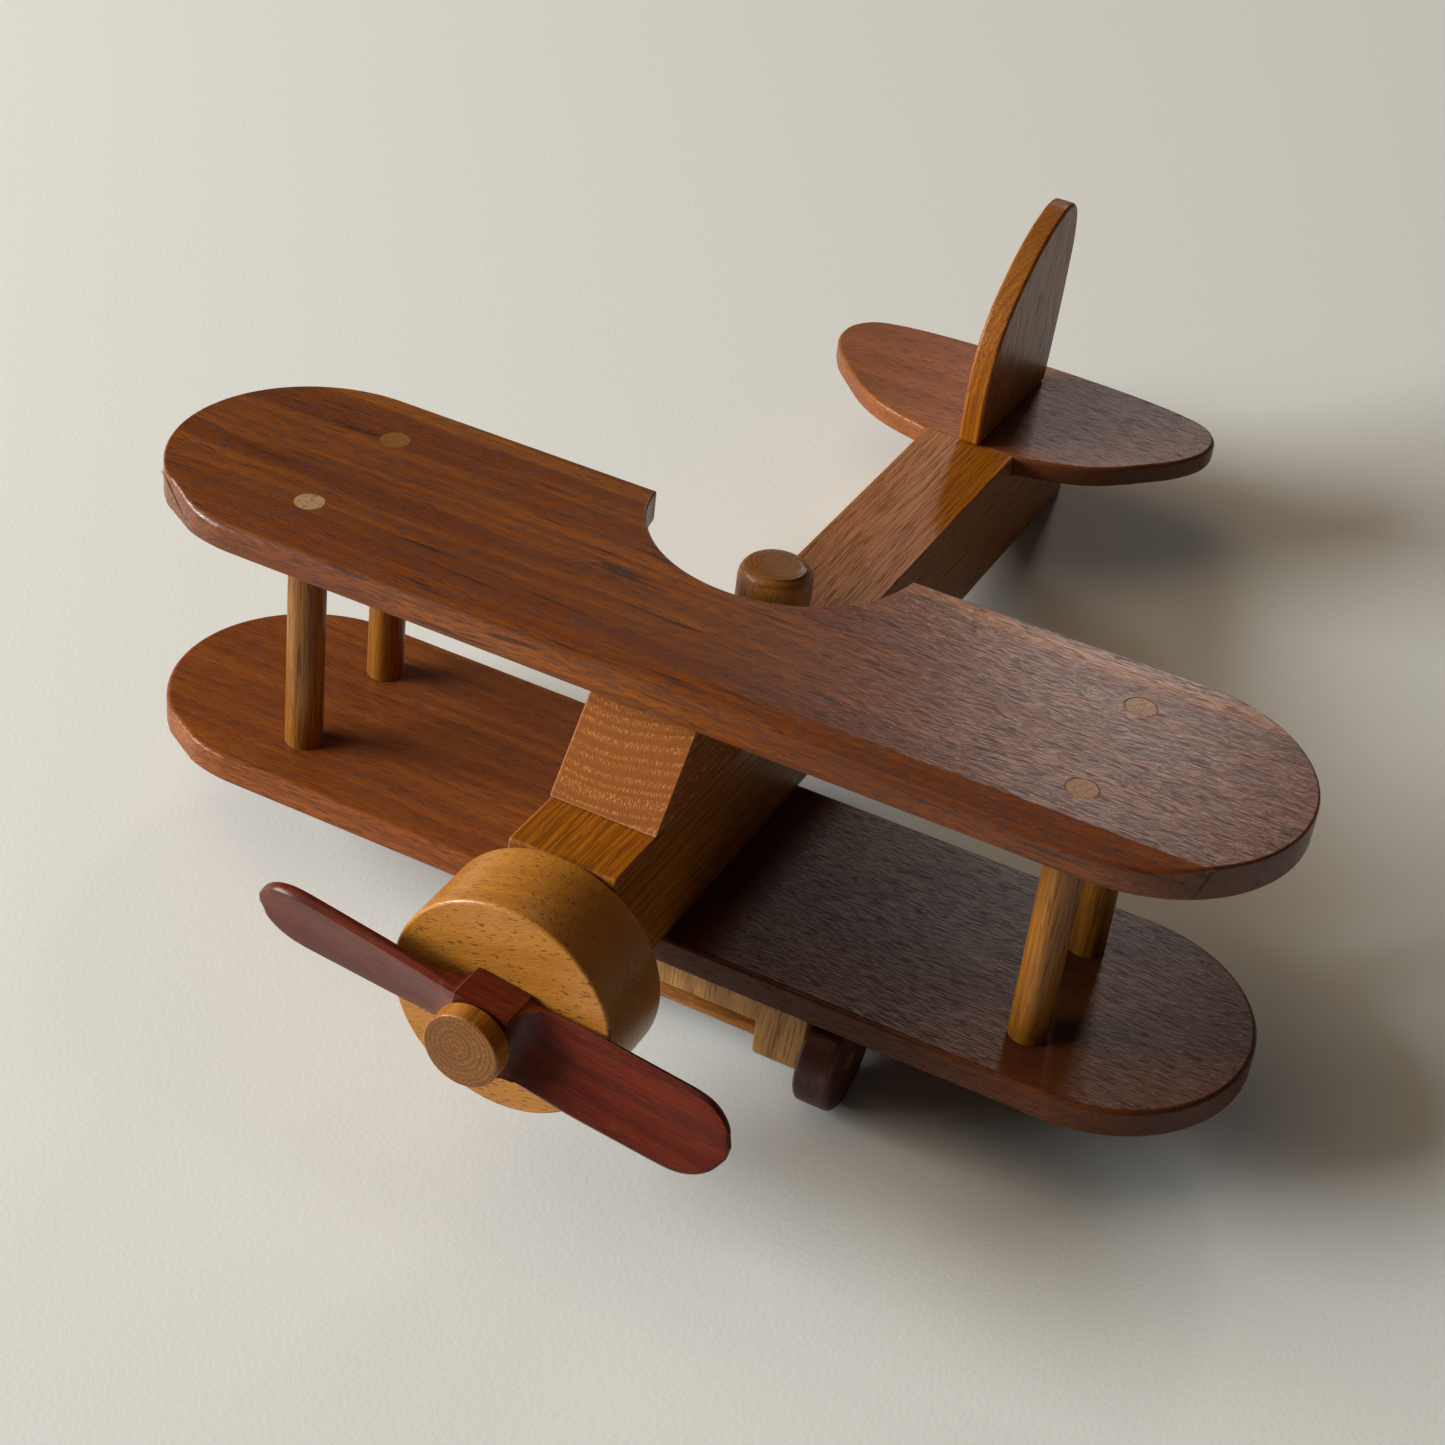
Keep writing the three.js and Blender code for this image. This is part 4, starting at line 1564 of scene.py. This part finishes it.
@dataclass
class Tail:
    """The stabiliser, let flush into the bar, and the fin standing on it."""

    stance: Stance
    edge: float = 1.2 * MM
    curve_steps: int = 12
    stabiliser_rim: tuple[tuple[float, float], ...] = field(
        default=(
            (0.235, 0.0),
            (0.56, 0.13),
            (0.8, 0.36),
            (0.95, 0.57),
            (1.0, 0.74),
            (0.97, 0.89),
            (0.84, 1.0),
        )
    )  # from the body out round the left tip, as shares of half the span and of the chord
    fin_rim: tuple[tuple[float, float], ...] = field(
        default=(
            (0.0, 0.0),
            (0.934, 0.0),
            (0.97, 0.26),
            (0.995, 0.54),
            (0.985, 0.86),
            (0.925, 0.975),
            (0.84, 1.0),
            (0.68, 0.975),
            (0.486, 0.9),
            (0.29, 0.775),
            (0.14, 0.64),
            (0.056, 0.51),
            (0.014, 0.35),
        )
    )  # from the foot's front round the back and the crown, as shares of its length and height

    def build(self) -> None:
        """Builds the stabiliser and the fin."""
        self._stabiliser()
        self._fin()

    def _sheet(self, name: str, outline: list[Vector], straight: set[int], push: Vector) -> bpy.types.Object:
        """Saws a thin board to a curved outline.

        Args:
            name: the board's name.
            outline: the outline's points on the bench, in order.
            straight: the points where the outline turns a corner.
            push: from this face of the board to the other.

        Returns:
            The board, its edges still sharp.
        """
        lay_down_tools()
        bpy.ops.curve.primitive_bezier_curve_add()
        curve = bpy.context.object
        curve.name = name
        spline = curve.data.splines[0]
        curve.data.dimensions = "3D"
        curve.data.resolution_u = self.curve_steps
        spline.bezier_points.add(len(outline) - len(spline.bezier_points))
        spline.use_cyclic_u = True
        for number, (point, place) in enumerate(zip(spline.bezier_points, outline)):
            kind = "VECTOR" if number in straight else "AUTO"
            point.handle_left_type = kind
            point.handle_right_type = kind
            point.co = place
        bpy.context.view_layer.update()
        bpy.ops.object.convert(target="MESH")
        board = fresh(name)
        pick(board, Pick.VERTS, lambda at: True)
        bpy.ops.mesh.remove_doubles(threshold=0.02 * MM)
        bpy.ops.mesh.edge_face_add()
        bpy.ops.mesh.select_all(action="SELECT")
        bpy.ops.mesh.extrude_region_move(TRANSFORM_OT_translate={"value": push})
        bpy.ops.mesh.select_all(action="SELECT")
        bpy.ops.mesh.normals_make_consistent(inside=False)
        bpy.ops.object.mode_set(mode="OBJECT")
        return board

    def _stabiliser(self) -> None:
        """Builds the stabiliser: one board, both tips round."""
        low, high = self.stance.box("stabiliser")
        left = [
            Vector((high.x * x, low.y + (high.y - low.y) * y, low.z)) for x, y in self.stabiliser_rim
        ]
        right = [Vector((-at.x, at.y, at.z)) for at in reversed(left)]
        corners = {0, 2 * len(left) - 1}
        board = self._sheet(
            "stabiliser_board", left + right, corners, Vector((0.0, 0.0, high.z - low.z))
        )
        ease(board, self.edge, 4, 50.0)
        self.stance.stand(board, "stabiliser", "tail_sapele", "airframe")
        # The shift's first figure sets where the painted shade on the right half starts.
        TAIL_SAPELE.dress(board, self.stance, Grain.ACROSS, (12.0, 80.0, 20.0))

    def _fin(self) -> None:
        """Builds the fin: one board on edge, its leading edge one long curve."""
        low, high = self.stance.box("fin")
        outline = [
            Vector((low.x, low.y + (high.y - low.y) * y, low.z + (high.z - low.z) * z))
            for y, z in self.fin_rim
        ]
        board = self._sheet("fin_board", outline, {0, 1}, Vector((high.x - low.x, 0.0, 0.0)))
        ease(board, self.edge, 4, 50.0)
        self.stance.stand(board, "fin", "body_oak", "airframe")
        BODY_OAK.dress(board, self.stance, Grain.UPWARD, (30.0, 60.0, 50.0))


# ------------------------------------------------------------------------------ undercarriage


@dataclass
class Undercarriage:
    """The pale inverted U under the lower wing, the axle in it, and the two wheels."""

    stance: Stance
    leg_width: float = 14.0 * MM
    beam_height: float = 9.5 * MM
    corner: float = 1.6 * MM
    edge: float = 0.8 * MM
    axle_room: float = 0.5 * MM
    bore_room: float = 0.08 * MM
    wheel_edge: float = 1.4 * MM

    def build(self) -> None:
        """Builds the legs, the axle and the wheels."""
        self._frame()
        self._axle()
        self._wheels()

    def _frame(self) -> None:
        """Saws the U out of one block and drills it for the axle."""
        low, high = self.stance.box("undercarriage")
        piece = block("undercarriage_frame", low, high)
        opening = block(
            "opening",
            (low.x + self.leg_width, low.y * 2, low.z * 2 - high.z),
            (high.x - self.leg_width, high.y * -2, high.z - self.beam_height),
        )
        carve(piece, opening)
        foot = low.z + HAIR
        pick(
            piece,
            Pick.EDGES,
            lambda a, b: max(a.z, b.z) < foot and abs(a.x - b.x) < HAIR,
        )
        bpy.ops.mesh.bevel(offset=self.corner, segments=4)
        bpy.ops.object.mode_set(mode="OBJECT")
        ease(piece, self.edge, 3, 50.0)
        axle_low, axle_high = self.stance.box("axle")
        radius = (axle_high.z - axle_low.z) / 2 + self.axle_room
        carve(piece, rod("drill", radius, (axle_low + axle_high) / 2, 2 * (high.x - low.x), Along.X))
        self.stance.stand(piece, "undercarriage", "gear_oak", "airframe")
        GEAR_OAK.dress(piece, self.stance, Grain.UPWARD, (5.0, 9.0, 40.0))

    def _axle(self) -> None:
        """Cuts the axle, its ends just rounded."""
        low, high = self.stance.box("axle")
        axle = rod("axle_dowel", (high.z - low.z) / 2, (low + high) / 2, high.x - low.x, Along.X, 48)
        ease(axle, 0.5 * MM, 3)
        self.stance.stand(axle, "axle", "peg_dowel", "wheelset")
        middle = (low + high) / 2
        PEG_BIRCH.dress(axle, self.stance, Grain.ACROSS, (0.0, -middle.y / MM, -middle.z / MM))

    def _wheels(self) -> None:
        """Turns one wheel and copies it to the other side."""
        low, high = self.stance.box("wheel_left")
        axle_low, axle_high = self.stance.box("axle")
        middle = (low + high) / 2
        wheel = rod("wheel_left_disc", (high.z - low.z) / 2, middle, high.x - low.x, Along.X, 128)
        ease(wheel, self.wheel_edge, 4)
        bore = (axle_high.z - axle_low.z) / 2 + self.bore_room
        carve(wheel, rod("drill", bore, middle, 2 * (high.x - low.x), Along.X, 48))
        other = wheel.copy()
        other.data = wheel.data.copy()
        other.name = "wheel_right_disc"
        bpy.context.scene.collection.objects.link(other)
        far_low, far_high = self.stance.box("wheel_right")
        half_round = Matrix.Rotation(math.pi, 4, "Z") @ Matrix.Translation(-middle)
        other.matrix_world = Matrix.Translation((far_low + far_high) / 2) @ half_round
        take_up(other)
        bpy.ops.object.transform_apply(location=True, rotation=True, scale=True)
        for piece, side in ((wheel, "left"), (other, "right")):
            self.stance.stand(piece, f"wheel_{side}", "wheel_walnut", "wheelset")
            WHEEL_WALNUT.dress(piece, self.stance, Grain.UPWARD, (17.0 * len(side), 31.0, 8.0))


# ------------------------------------------------------------------------------ studio


@dataclass
class Studio:
    """A plain pale table top, soft window light, and the camera."""

    floor_side: float = 4.0
    camera_place: tuple[float, float, float] = (223.9 * MM, -516.9 * MM, 528.5 * MM)
    azimuth: float = 25.48  # degrees that the camera stands round to the left wing's side
    elevation: float = 42.09  # degrees that it looks down
    roll: float = 3.12  # degrees that the picture leans
    lens: float = 68.34  # millimetres, on a 36 mm sensor
    sky: float = 0.05

    def build(self) -> None:
        """Builds the floor, the lights and the camera."""
        self._floor()
        self._lights()
        self._camera()

    def _floor(self) -> None:
        """Lays the table top: matt laminate with the faintest fine texture."""
        lay_down_tools()
        bpy.ops.mesh.primitive_plane_add(size=self.floor_side)
        floor = fresh("table_top")
        material = bpy.data.materials.new("pale_laminate")
        material.use_nodes = True
        tree = material.node_tree
        tree.nodes.clear()
        place = add_node(tree, "ShaderNodeTexCoord")
        fine = add_node(
            tree, "ShaderNodeTexNoise", {"Vector": place.outputs["Object"], "Scale": 700.0, "Detail": 2.0}
        )
        bump = add_node(
            tree, "ShaderNodeBump", {"Height": fine.outputs[0], "Strength": 0.25, "Distance": 0.2 * MM}
        )
        shader = add_node(
            tree,
            "ShaderNodeBsdfPrincipled",
            {
                "Base Color": linear("dcdfdc"),
                "Roughness": 0.6,
                "Specular IOR Level": 0.3,
                "Normal": bump.outputs[0],
            },
        )
        add_node(tree, "ShaderNodeOutputMaterial", {"Surface": shader.outputs[0]})
        floor.data.materials.append(material)

    def _area(
        self,
        name: str,
        compass: float,
        height: float,
        far: float,
        side: tuple[float, float],
        power: float,
        tint: str,
    ) -> None:
        """Hangs one soft light that faces the aeroplane.

        Args:
            name: the light's name.
            compass: where it hangs, in degrees from the left wing's side round to the tail's.
            height: how high it hangs, in degrees above the table.
            far: how far off it hangs.
            side: its width and height.
            power: its power in watts.
            tint: its colour.
        """
        light = bpy.data.lights.new(name, "AREA")
        light.shape = "RECTANGLE"
        light.size, light.size_y = side
        light.energy = power
        light.color = linear(tint)[:3]
        lamp = bpy.data.objects.new(name, light)
        bpy.context.scene.collection.objects.link(lamp)
        turn = Euler((0.0, -math.radians(height), math.radians(compass)))
        out = turn.to_matrix() @ Vector((far, 0.0, 0.0))
        lamp.location = out
        lamp.rotation_euler = (-out).to_track_quat("-Z", "Y").to_euler()

    def _lights(self) -> None:
        """Hangs the low window on the right, a window behind, a pale ceiling, and the room's glow."""
        self._area("window_front", 208.0, 23.0, 3.0, (1.9, 1.1), 158.0, "fcfcfa")
        self._area("window_behind", 100.0, 25.0, 3.0, (0.4, 0.34), 8.5, "fff0e6")
        self._area("ceiling", 195.0, 66.0, 3.0, (2.4, 2.4), 19.0, "ffdcb4")
        world = bpy.data.worlds.new("room_light")
        world.use_nodes = True
        tree = world.node_tree
        tree.nodes.clear()
        glow = add_node(tree, "ShaderNodeBackground", {"Color": linear("e8dccc"), "Strength": self.sky})
        add_node(tree, "ShaderNodeOutputWorld", {"Surface": glow.outputs[0]})
        bpy.context.scene.world = world

    def _camera(self) -> None:
        """Sets the camera up at its place, azimuth, elevation and roll."""
        data = bpy.data.cameras.new("camera")
        data.lens = self.lens
        data.sensor_width = 36.0
        data.clip_start = 0.01
        camera = bpy.data.objects.new("camera", data)
        bpy.context.scene.collection.objects.link(camera)
        turn = (
            Matrix.Rotation(math.radians(self.azimuth), 4, "Z")
            @ Matrix.Rotation(math.radians(90.0 - self.elevation), 4, "X")
            @ Matrix.Rotation(math.radians(self.roll), 4, "Z")
        )
        camera.matrix_world = Matrix.Translation(self.camera_place) @ turn
        bpy.context.scene.camera = camera
        bpy.context.scene.view_settings.view_transform = "Standard"


def main() -> None:
    """Loads the frame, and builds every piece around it."""
    logging.basicConfig(level=logging.INFO, format="%(name)s: %(message)s")
    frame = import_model()
    stance = Stance(frame)
    for assembly in (Wings(stance), Body(stance), Propeller(stance), Tail(stance), Undercarriage(stance)):
        LOG.info("building %s", type(assembly).__name__)
        assembly.build()
    Studio().build()
    lay_down_tools()


if __name__ == "__main__":
    main()
